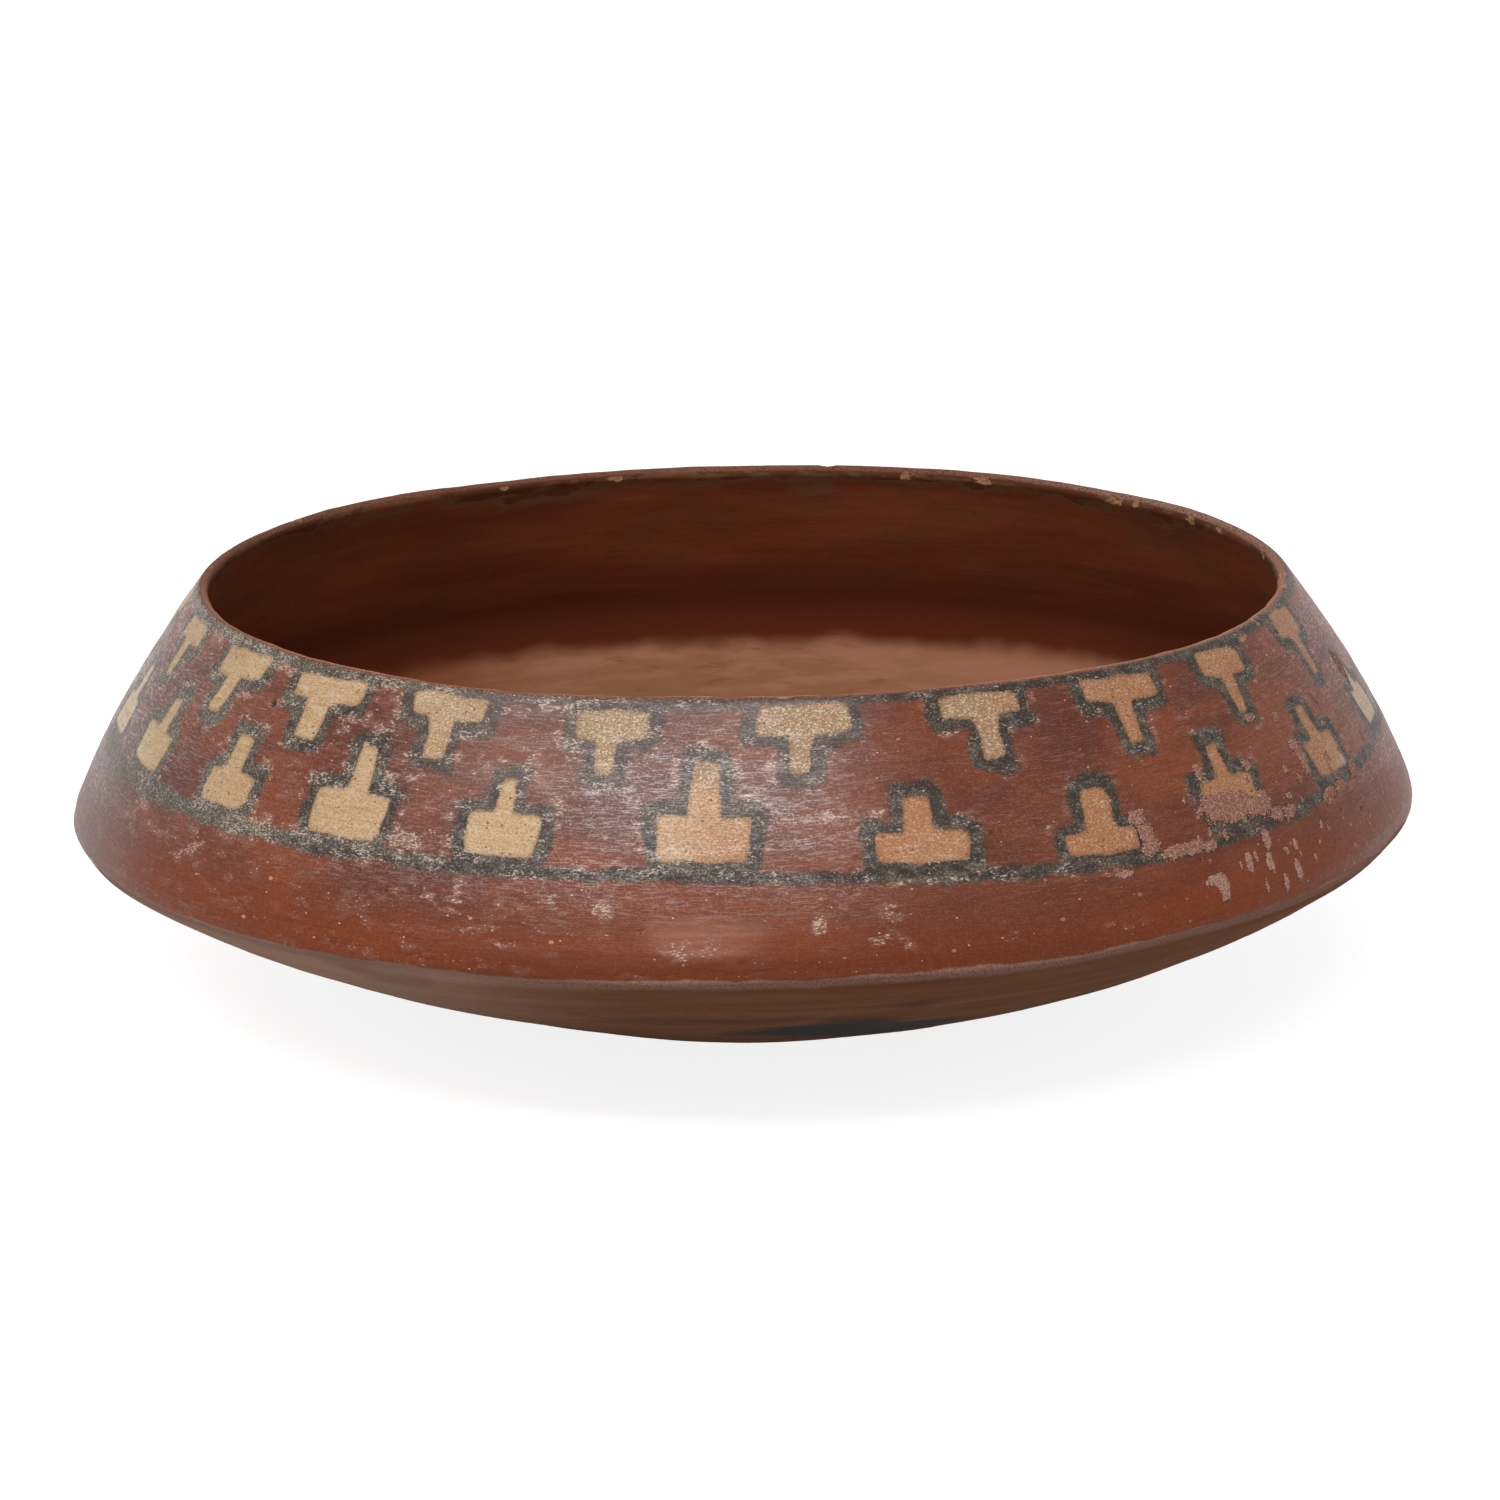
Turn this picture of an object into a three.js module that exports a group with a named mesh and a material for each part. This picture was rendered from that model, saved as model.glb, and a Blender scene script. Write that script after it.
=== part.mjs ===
// A hand-built, painted earthenware bowl with a sharp shoulder (its keel) and a mouth narrower than its body.
// It is modelled as the potter makes it: a pressed base pat, then rings of clay laid on each other and luted
// at bevelled, crowned edges. Units are millimetres, +Z is up, and the origin is the middle of the resting face.

import * as THREE from 'three';

// Overall sizes
const keelRadius = 125;
const keelHeight = 36.4;
const rimRadius = 100.8;
const rimHeight = 77.6;
const footRadius = 46;

// Slopes of the outer face, in degrees: the base's above the horizontal, the wall's inward from the vertical
const baseSlopeAtFoot = 18;
const baseSlopeAtKeel = 34;
const wallLeanAtKeel = 22;
const wallLeanAtRim = 36;

// Thickness of the clay, measured square to the outer face
const footThickness = 6.2;
const baseThickness = 5.6;
const wallThickness = 4.6;
const lipThickness = 2.6;

// Lengths along the outer face: how far the lip's thinning and the keel's inside fillet reach
const lipTaper = 22;
const keelFillet = 14;
const keelRounding = 5.5;
const footEdgeEasing = 1.2;

// The rings of clay. The base and wall rings share evenly what the pat, the keel ring and the rim ring leave.
const baseRings = ['base_coil_inner', 'base_coil_middle', 'base_coil_outer'];
const wallRings = ['wall_coil_lower', 'wall_coil_middle', 'wall_coil_upper'];
const patBeyondFoot = 12;
const keelRingBelow = 11;
const keelRingAbove = 9;
const rimRingHeight = 8.5;

// Luted joints between rings
const jointBevel = 2.6;
const jointCrown = 0.7;
const lutingGap = 0.3;

// A hand-built bowl isn't quite level: the rise of its keel and of its mouth towards +X, at the keel's radius
const keelRise = 2.8;
const mouthRise = 1.5;

// Fineness
const sides = 60;
const baseSteps = 12;
const keelSteps = 4;
const wallSteps = 9;
const lipSteps = 4;
const jointSteps = 2;
const smallestStep = 1;

const clayColour = '#8a4a35';
const slipColour = '#84402f';

const { degToRad, lerp, smoothstep, clamp } = THREE.MathUtils;

function direction(angle) {
  return new THREE.Vector2(Math.cos(angle), Math.sin(angle));
}

// A smooth curve that leaves one point and reaches another along given directions
function sweep(start, startDirection, end, endDirection) {
  const reach = start.distanceTo(end) / 3;
  const startHandle = start.clone().addScaledVector(startDirection, reach);
  const endHandle = end.clone().addScaledVector(endDirection, -reach);
  return new THREE.CubicBezierCurve(start, startHandle, endHandle, end);
}

// The points of the outer face, from the resting face's edge over the rounded keel to the lip
function outerPoints() {
  const keelCentre = new THREE.Vector2(keelRadius - keelRounding, keelHeight);
  const onKeel = (angle) => keelCentre.clone().addScaledVector(direction(angle), keelRounding);
  const baseEnd = degToRad(baseSlopeAtKeel - 90);
  const wallStart = degToRad(wallLeanAtKeel);
  const base = sweep(
    new THREE.Vector2(footRadius, 0), direction(degToRad(baseSlopeAtFoot)),
    onKeel(baseEnd), direction(degToRad(baseSlopeAtKeel)),
  );
  const wall = sweep(
    onKeel(wallStart), direction(degToRad(90 + wallLeanAtKeel)),
    new THREE.Vector2(rimRadius, rimHeight), direction(degToRad(90 + wallLeanAtRim)),
  );
  const keel = [];
  for (let i = 1; i < keelSteps; i++) {
    keel.push(onKeel(lerp(baseEnd, wallStart, i / keelSteps)));
  }
  return [...base.getSpacedPoints(baseSteps), ...keel, ...wall.getSpacedPoints(wallSteps)];
}

// Each point of the outer face as a station, with its distance from the foot and the direction of travel
function stations(points) {
  let distance = 0;
  return points.map((point, i) => {
    const before = points[Math.max(0, i - 1)];
    const after = points[Math.min(points.length - 1, i + 1)];
    distance += point.distanceTo(before);
    return { point, distance, along: after.clone().sub(before).normalize() };
  });
}

const face = stations(outerPoints());
const faceLength = face.at(-1).distance;
const keelDistance = distanceWhere('y', keelHeight);

// How far along the face it first reaches a radius (x) or a height (y)
function distanceWhere(axis, value) {
  const next = face.findIndex((station) => station.point[axis] > value);
  const lower = face[next - 1];
  const upper = face[next];
  const share = (value - lower.point[axis]) / (upper.point[axis] - lower.point[axis]);
  return lerp(lower.distance, upper.distance, share);
}

function stationAt(distance) {
  const next = face.findIndex((station, i) => i > 0 && station.distance >= distance);
  const upper = face.at(next);
  const lower = face.at(next === -1 ? -2 : next - 1);
  const share = (distance - lower.distance) / (upper.distance - lower.distance);
  return {
    point: lower.point.clone().lerp(upper.point, share),
    along: lower.along.clone().lerp(upper.along, share).normalize(),
  };
}

function thicknessAt(distance) {
  if (distance < keelDistance) {
    return lerp(footThickness, baseThickness, distance / keelDistance);
  }
  return lerp(lipThickness, wallThickness, smoothstep(faceLength - distance, 0, lipTaper));
}

// The inner face lies one thickness inside the outer one, and a fillet carries it past the keel
function offsetInward(distance) {
  const { point, along } = stationAt(distance);
  return point.addScaledVector(new THREE.Vector2(-along.y, along.x), thicknessAt(distance));
}

const filletStart = keelDistance - keelFillet;
const filletEnd = keelDistance + keelFillet;
const fillet = sweep(
  offsetInward(filletStart), stationAt(filletStart).along,
  offsetInward(filletEnd), stationAt(filletEnd).along,
);

function innerPoint(distance) {
  const share = (distance - filletStart) / (filletEnd - filletStart);
  return share > 0 && share < 1 ? fillet.getPoint(share) : offsetInward(distance);
}

// A point at a depth into the clay: 0 is on the outer face and 1 on the inner one
function inClay(distance, depth) {
  return stationAt(distance).point.lerp(innerPoint(distance), depth);
}

// Joints lean through the clay, so that each ring laps inside the one below, and their middle is crowned
function jointLine(distance, side) {
  const line = [];
  for (let i = 0; i <= jointSteps; i++) {
    const depth = i / jointSteps;
    const lean = jointBevel * (depth - 0.5);
    const crown = jointCrown * Math.sin(Math.PI * depth);
    const seam = inClay(distance - lean + crown, depth);
    const ahead = inClay(distance - lean + crown + lutingGap, depth).sub(seam).normalize();
    line.push(seam.addScaledVector(ahead, side * lutingGap / 2));
  }
  return line;
}

// The stations of one face between two places, without those that lie too close to its ends
function stretch(from, to, depth) {
  return face
    .filter((station) => station.distance > from + smallestStep && station.distance < to - smallestStep)
    .map((station) => inClay(station.distance, depth));
}

function outerStretch(from, to) {
  return stretch(from + jointBevel / 2, to + jointBevel / 2, 0);
}

function innerStretch(from, to) {
  return stretch(from - jointBevel / 2, to - jointBevel / 2, 1).reverse();
}

// The section of a ring of clay between two joints
function ringSection(from, to) {
  return [...outerStretch(from, to), ...jointLine(to, -1), ...innerStretch(from, to), ...jointLine(from, 1).reverse()];
}

// The rim ring ends in a rounded lip instead of a joint
function rimSection(from) {
  const lipRadius = lipThickness / 2;
  const end = faceLength - lipRadius;
  const { along } = stationAt(end);
  const outward = new THREE.Vector2(along.y, -along.x);
  const lip = [];
  for (let i = 0; i <= lipSteps; i++) {
    const turn = Math.PI * i / lipSteps;
    lip.push(inClay(end, 0.5)
      .addScaledVector(outward, lipRadius * Math.cos(turn))
      .addScaledVector(along, lipRadius * Math.sin(turn)));
  }
  return [
    ...stretch(from + jointBevel / 2, end, 0),
    ...lip,
    ...stretch(from - jointBevel / 2, end, 1).reverse(),
    ...jointLine(from, 1).reverse(),
  ];
}

// The base pat is a disc, flat below as far as the eased edge of the foot
function patSection(to) {
  return [
    new THREE.Vector2(0, 0),
    new THREE.Vector2(footRadius - footEdgeEasing, 0),
    ...outerStretch(footEdgeEasing, to),
    ...jointLine(to, -1),
    ...innerStretch(0, to),
    new THREE.Vector2(0, footThickness),
  ];
}

// Tips the shoulder and the mouth up towards +X, and leaves the resting face and the floor over it level
function settle(geometry) {
  const position = geometry.attributes.position;
  for (let i = 0; i < position.count; i++) {
    const x = position.getX(i);
    const z = position.getZ(i);
    const outside = smoothstep(Math.hypot(x, position.getY(i)), footRadius, keelRadius);
    const belowKeel = keelRise * outside * Math.min(1, z / keelHeight);
    const aboveKeel = clamp((z - keelHeight) / (rimHeight - keelHeight), 0, 1);
    position.setZ(i, z + lerp(belowKeel, mouthRise, aboveKeel) * x / keelRadius);
  }
  geometry.computeVertexNormals();
}

// LatheGeometry turns its profile about Y, so the solid is stood up on Z afterwards
function turned(section) {
  const startsOnAxis = section[0].x === 0;
  const geometry = new THREE.LatheGeometry(startsOnAxis ? section : [...section, section[0]], sides);
  geometry.rotateX(Math.PI / 2);
  settle(geometry);
  return geometry;
}

function clayPiece(name, section, colour) {
  const material = new THREE.MeshStandardMaterial({ color: colour, roughness: 0.45, metalness: 0 });
  const mesh = new THREE.Mesh(turned(section), material);
  mesh.name = name;
  return mesh;
}

// The ends of a number of equal rings between two places on the face
function evenly(from, to, count) {
  return Array.from({ length: count + 1 }, (_, i) => lerp(from, to, i / count));
}

const patJoint = distanceWhere('x', footRadius + patBeyondFoot);
const baseJoints = evenly(patJoint, keelDistance - keelRingBelow, baseRings.length);
const wallJoints = evenly(keelDistance + keelRingAbove, faceLength - rimRingHeight, wallRings.length);

const bowl = new THREE.Group();
bowl.add(clayPiece('base_pat', patSection(patJoint), clayColour));
baseRings.forEach((name, i) => {
  bowl.add(clayPiece(name, ringSection(baseJoints[i], baseJoints[i + 1]), clayColour));
});
bowl.add(clayPiece('keel_coil', ringSection(baseJoints.at(-1), wallJoints[0]), slipColour));
wallRings.forEach((name, i) => {
  bowl.add(clayPiece(name, ringSection(wallJoints[i], wallJoints[i + 1]), slipColour));
});
bowl.add(clayPiece('rim_coil', rimSection(wallJoints.at(-1)), slipColour));

export default bowl;
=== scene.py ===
# The finished look of a hand-built, painted pottery bowl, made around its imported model.
# Shapes are worked out in millimetres and turned into metres when a mesh is made.

import math

import bpy
import numpy as np
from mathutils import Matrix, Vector


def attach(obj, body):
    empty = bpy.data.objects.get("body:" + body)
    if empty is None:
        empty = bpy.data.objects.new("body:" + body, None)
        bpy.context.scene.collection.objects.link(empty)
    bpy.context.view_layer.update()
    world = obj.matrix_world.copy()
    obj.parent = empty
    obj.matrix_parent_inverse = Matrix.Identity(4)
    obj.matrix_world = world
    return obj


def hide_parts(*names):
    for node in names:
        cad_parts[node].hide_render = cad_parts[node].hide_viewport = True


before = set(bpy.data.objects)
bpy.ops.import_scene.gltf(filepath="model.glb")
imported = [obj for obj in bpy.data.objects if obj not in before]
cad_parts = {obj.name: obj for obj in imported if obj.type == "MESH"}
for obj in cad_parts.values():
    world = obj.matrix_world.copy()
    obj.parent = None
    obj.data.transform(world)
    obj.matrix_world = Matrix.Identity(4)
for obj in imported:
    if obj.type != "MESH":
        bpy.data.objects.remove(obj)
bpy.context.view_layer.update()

MM = 0.001
TAU = 2 * math.pi

# The bowl's sizes, as in its construction model
KEEL_RADIUS = 125.0
KEEL_HEIGHT = 36.4
RIM_RADIUS = 100.8
RIM_HEIGHT = 77.6
FOOT_RADIUS = 46.0
BASE_SLOPE_AT_FOOT = 18
BASE_SLOPE_AT_KEEL = 34
WALL_LEAN_AT_KEEL = 22
WALL_LEAN_AT_RIM = 36
FOOT_THICKNESS = 6.2
BASE_THICKNESS = 5.6
WALL_THICKNESS = 4.6
LIP_THICKNESS = 2.6
LIP_TAPER = 22
KEEL_FILLET = 14
KEEL_ROUNDING = 5.5
FOOT_SOFTENING = 0.5
KEEL_RISE = 2.8
MOUTH_RISE = 1.5

# The rings of clay, from the foot up, and where their joints lie along the outer face
PAT_BEYOND_FOOT = 12
KEEL_RING_BELOW = 11
KEEL_RING_ABOVE = 9
RIM_RING_HEIGHT = 8.5
BASE_RINGS = ("inner", "middle", "outer")
WALL_RINGS = ("lower", "middle", "upper")
JOINT_BEVEL = 2.6
JOINT_CROWN = 0.7
LUTING_GAP = 0.3

# The camera of the photograph, and how far the bowl's middle is off the picture's middle, in its pixels
CAMERA_PITCH = 14.51
CAMERA_DISTANCE = 1024
CAMERA_LENS = 130.7
SENSOR_WIDTH = 36
AIM_HEIGHT = 40
PICTURE_SIDE = 1500
BOWL_LEFT_PIXELS = 7.5
BOWL_DOWN_PIXELS = 16.0


# Smooth steps and seeded noise

def smooth_step(value, low, high):
    share = np.clip((value - low) / (high - low), 0, 1)
    return share * share * (3 - 2 * share)


def mix(low, high, share):
    return low + (high - low) * share


def bell(offset, width):
    """1 where the offset is 0, falling smoothly to nothing over about twice the width."""
    return np.exp(-(offset / width) ** 2)


def turned_away(degrees, centre):
    """How many degrees lie between two directions round the bowl, from -180 to 180."""
    return np.mod(degrees - centre + 180, 360) - 180


class WallNoise:
    """Smooth noise round the bowl: a lattice of seeded values that meets itself after a full turn."""

    ROWS = 256

    def __init__(self, seed, cells_round, cell_length):
        self.values = np.random.default_rng(seed).uniform(-1, 1, (self.ROWS, cells_round))
        self.cells_round = cells_round
        self.cell_length = cell_length

    def __call__(self, angle, along):
        across = np.mod(angle / TAU, 1) * self.cells_round
        up = np.mod(along / self.cell_length, self.ROWS - 1)
        column = np.floor(across).astype(int)
        row = np.floor(up).astype(int)
        x = smooth_step(across - column, 0, 1)
        y = smooth_step(up - row, 0, 1)
        column, right = column % self.cells_round, (column + 1) % self.cells_round
        lower = mix(self.values[row, column], self.values[row, right], x)
        upper = mix(self.values[row + 1, column], self.values[row + 1, right], x)
        return mix(lower, upper, y)


# The skin: one line from the middle of the foot over the keel and the lip to the middle of the floor

SKIN_STEP = 0.2
CURVE_POINTS = 400


def direction(degrees):
    return np.array([math.cos(math.radians(degrees)), math.sin(math.radians(degrees))])


def sweep(start, start_slope, end, end_slope, count):
    """Points on a smooth curve that leaves start and reaches end along slopes given in degrees."""
    reach = np.linalg.norm(end - start) / 3
    first = start + reach * direction(start_slope)
    second = end - reach * direction(end_slope)
    t = np.linspace(0, 1, count)[:, None]
    return (1 - t) ** 3 * start + 3 * (1 - t) ** 2 * t * first + 3 * (1 - t) * t ** 2 * second + t ** 3 * end


def distances(points):
    return np.concatenate([[0], np.cumsum(np.linalg.norm(np.diff(points, axis=0), axis=1))])


def evenly(points, step):
    """The same line with points a step apart."""
    along = distances(points)
    places = np.linspace(0, along[-1], int(along[-1] / step) + 1)
    return np.stack([np.interp(places, along, points[:, i]) for i in range(2)], axis=1)


def softened(points, reach, step):
    """The line with its corners rounded over a reach on each side. Its ends stay."""
    half = int(3 * reach / step)
    weights = np.exp(-0.5 * (np.arange(-half, half + 1) * step / reach) ** 2)
    before = 2 * points[0] - points[half:0:-1]
    after = 2 * points[-1] - points[-2:-half - 2:-1]
    padded = np.concatenate([before, points, after])
    return np.stack([np.convolve(padded[:, i], weights / weights.sum(), "valid") for i in range(2)], axis=1)


def outer_line():
    """The outer face from the edge of the foot to the lip, sharp at the foot and round at the keel."""
    keel_centre = np.array([KEEL_RADIUS - KEEL_ROUNDING, KEEL_HEIGHT])
    foot = np.array([FOOT_RADIUS, 0.0])
    base_end = keel_centre + KEEL_ROUNDING * direction(BASE_SLOPE_AT_KEEL - 90)
    wall_start = keel_centre + KEEL_ROUNDING * direction(WALL_LEAN_AT_KEEL)
    rim = np.array([RIM_RADIUS, RIM_HEIGHT])
    turns = np.linspace(BASE_SLOPE_AT_KEEL - 90, WALL_LEAN_AT_KEEL, CURVE_POINTS)[1:-1]
    base = sweep(foot, BASE_SLOPE_AT_FOOT, base_end, BASE_SLOPE_AT_KEEL, CURVE_POINTS)
    keel = np.array([keel_centre + KEEL_ROUNDING * direction(turn) for turn in turns])
    wall = sweep(wall_start, 90 + WALL_LEAN_AT_KEEL, rim, 90 + WALL_LEAN_AT_RIM, CURVE_POINTS)
    return evenly(np.concatenate([base, keel, wall]), SKIN_STEP)


def inner_line(outer, face, ahead, keel, face_length):
    """The inner face, one thickness inside the outer one, with a fillet that carries it past the keel."""
    thickness = np.where(
        face < keel,
        mix(FOOT_THICKNESS, BASE_THICKNESS, face / keel),
        mix(LIP_THICKNESS, WALL_THICKNESS, smooth_step(face_length - face, 0, LIP_TAPER)),
    )
    inner = outer + np.stack([-ahead[:, 1], ahead[:, 0]], axis=1) * thickness[:, None]
    first, last = np.flatnonzero(np.abs(face - keel) < KEEL_FILLET)[[0, -1]]
    slopes = np.degrees(np.arctan2(ahead[[first, last], 1], ahead[[first, last], 0]))
    inner[first:last + 1] = sweep(inner[first], slopes[0], inner[last], slopes[1], last + 1 - first)
    return inner


class Skin:
    """The bowl's whole section as one line: radius and height at each distance along it."""

    def __init__(self):
        outer = outer_line()
        face = distances(outer)
        self.face_length = face[-1]
        self.keel = face[np.argmax(outer[:, 1] >= KEEL_HEIGHT)]
        ahead = np.gradient(outer, axis=0)
        ahead /= np.linalg.norm(ahead, axis=1)[:, None]
        inner = inner_line(outer, face, ahead, self.keel, self.face_length)

        lip_radius = LIP_THICKNESS / 2
        kept = face <= self.face_length - lip_radius
        outer, inner, ahead, self.face = outer[kept], inner[kept], ahead[kept], face[kept]
        turn = np.linspace(0, math.pi, int(math.pi * lip_radius / SKIN_STEP))[1:-1, None]
        middle, across = (outer[-1] + inner[-1]) / 2, (outer[-1] - inner[-1]) / 2
        lip = middle + across * np.cos(turn) + ahead[-1] * lip_radius * np.sin(turn)

        foot = evenly(np.array([[0.0, 0.0], [FOOT_RADIUS, 0.0]]), SKIN_STEP)[:-1]
        floor = foot[foot[:, 0] < inner[0, 0]] + np.array([0.0, FOOT_THICKNESS])
        below = softened(np.concatenate([foot, outer]), FOOT_SOFTENING, SKIN_STEP)
        above = softened(np.concatenate([floor, inner]), FOOT_SOFTENING, SKIN_STEP)
        line = np.concatenate([below, lip, above[::-1]])
        self.along = distances(line)
        self.radius, self.height = line.T
        self.end = self.along[-1]
        self.lip = self.along[len(below) + len(lip) // 2]
        half_lip = math.pi * lip_radius / 2
        self.outer_end = self.lip - half_lip
        self.inner_start = self.lip + half_lip
        self.inner_face = distances(inner)
        self.painted_top = self.outer_end + lip_radius

    def outer_place(self, face_distance):
        """Where along the skin a distance along the outer face is."""
        return self.outer_end - (self.face[-1] - face_distance)

    def inner_place(self, face_distance):
        """Where along the skin the inner point behind that distance is."""
        return self.inner_start + self.inner_face[-1] - np.interp(face_distance, self.face, self.inner_face)

    def at(self, along):
        return np.interp(along, self.along, self.radius), np.interp(along, self.along, self.height)

    def outward(self, along):
        """The direction out of the clay, in radius and height."""
        radius_before, height_before = self.at(along - SKIN_STEP)
        radius_after, height_after = self.at(along + SKIN_STEP)
        to_radius, to_height = radius_after - radius_before, height_after - height_before
        length = np.hypot(to_radius, to_height)
        return to_height / length, -to_radius / length


skin = Skin()


def below_lip(along):
    """Millimetres below the lip, along the outer face."""
    return skin.painted_top - along


# The hand's irregularity, in real shape. Waves are a count round the bowl, a size and a start. Tool marks
# are a noise and its depth.

SHAPING = [(1, 0.15, 0.0), (2, 0.30, 1.9), (3, 0.20, 2.1), (5, 0.12, 4.0)]
RIM_WAVES = [(0, 0.6, 0.0), (1, 0.1, 1.6), (3, 0.26, -2.1), (5, 0.10, 0.4), (9, 0.08, 2.6), (14, 0.06, 5.0)]
TOOL_MARKS = {
    "paddling": (WallNoise(12, 16, 26.0), 0.28),
    "scraping": (WallNoise(11, 34, 7.0), 0.14),
    "fine scraping": (WallNoise(15, 60, 2.1), 0.04),
    "pitting": (WallNoise(13, 620, 1.4), 0.02),
}
LIP_WEAR = WallNoise(14, 150, 3.0)
LIP_WEAR_DEPTH = 0.16
LIP_REACH = 2.4

# The resting face and the middle of the floor are calm: relief grows over these heights and radii
RELIEF_HEIGHTS = (0.5, 6.0)
RELIEF_RADII = (20, 60)

# The arris at the bottom of the keel, where the slip ends, and the hollow scraped below it
ARRIS_BELOW_LIP = 49.2
ARRIS_WIDTH = 0.9
ARRIS_HEIGHT = 0.32
ARRIS_WANDER = WallNoise(16, 22, 40.0)
HOLLOW_BELOW_ARRIS = 2.34
HOLLOW_WIDTH = 1.44
HOLLOW_DEPTH = 0.22


def waves(angle, terms):
    return sum(size * np.cos(count * angle + start) for count, size, start in terms)


def settle(x, y, z):
    """The bowl isn't quite level: its keel and its mouth rise towards +X, and its foot stays flat."""
    outside = smooth_step(np.hypot(x, y), FOOT_RADIUS, KEEL_RADIUS)
    below_keel = KEEL_RISE * outside * np.clip(z / KEEL_HEIGHT, 0, 1)
    above_keel = np.clip((z - KEEL_HEIGHT) / (RIM_HEIGHT - KEEL_HEIGHT), 0, 1)
    return z + mix(below_keel, MOUTH_RISE, above_keel) * x / KEEL_RADIUS


def degrees_from_front(angle):
    """Degrees from the photographed side, growing towards the viewer's right."""
    return turned_away(np.degrees(angle), -90)


def hand_relief(along, angle):
    """How far paddling, scraping and wear move the surface outwards."""
    radius, height = skin.at(along)
    calm = smooth_step(height, *RELIEF_HEIGHTS) * smooth_step(radius, *RELIEF_RADII)
    relief = sum(depth * noise(angle, along) for noise, depth in TOOL_MARKS.values())
    near_lip = 1 - smooth_step(np.abs(along - skin.lip), 0, LIP_REACH)
    relief = calm * mix(relief, LIP_WEAR_DEPTH * LIP_WEAR(angle, along), near_lip)
    below_arris = below_lip(along) - ARRIS_BELOW_LIP - ARRIS_WANDER(angle, along)
    relief += ARRIS_HEIGHT * bell(below_arris, ARRIS_WIDTH)
    return relief - HOLLOW_DEPTH * bell(below_arris - HOLLOW_BELOW_ARRIS, HOLLOW_WIDTH)


def surface(along, angle):
    """Points of the skin in millimetres, for arrays of places along it and angles round it."""
    radius, height = skin.at(along)
    out_radius, out_height = skin.outward(along)
    relief = hand_relief(along, angle) + marks_relief(along, angle)
    rounded = smooth_step(radius, FOOT_RADIUS, KEEL_RADIUS)
    raised = smooth_step(height, KEEL_HEIGHT, RIM_HEIGHT)
    r = radius + out_radius * relief + waves(angle, SHAPING) * rounded
    z = height + out_height * relief + waves(angle, RIM_WAVES) * raised
    x = r * np.cos(angle)
    y = r * np.sin(angle)
    return np.stack([x, y, settle(x, y, z)], axis=-1)


# Chips, pits, crust and dust. A mark is its degrees from the front, its millimetres below the lip (above
# zero outside, below zero inside), its half sizes round and along, and its depth or its strength.

LIP_CHIPS = [
    (85, -0.6, 2.4, 1.4, 0.9), (80, 0.2, 1.2, 0.8, 0.4), (64, 1.8, 0.9, 0.6, 0.3),
    (59.4, 2.6, 1.4, 0.6, 0.3), (160.5, -1.9, 1.5, 0.9, 0.4), (151, -1.9, 1.9, 1.0, 0.5),
    (132, -2.0, 2.0, 1.3, 0.6), (128.5, -1.7, 1.0, 0.7, 0.3), (118.5, -2.1, 1.6, 1.3, 0.5),
    (112, -1.9, 1.1, 0.9, 0.4), (-165, -2.0, 1.6, 0.7, 0.3), (-151, -1.9, 1.0, 0.6, 0.3),
    (98, -1.8, 1.2, 1.0, 0.5), (-120, 0.2, 1.8, 0.9, 0.5), (-95, 0.2, 1.4, 0.7, 0.4),
    (170, 0.4, 1.6, 0.8, 0.4), (4, 0.3, 1.6, 0.4, 0.2),
]
PITS = [
    (-50.5, 10, 0.8, 0.8, 0.7), (21, 27, 0.4, 0.4, 0.3), (-8, 41, 0.5, 0.4, 0.3), (64, 40, 0.5, 0.8, 0.4),
    (-30, 37, 0.4, 0.4, 0.3), (150, 18, 0.8, 0.6, 0.5), (-140, 33, 0.6, 0.7, 0.5), (-100, 24, 0.5, 0.5, 0.4),
]
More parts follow.
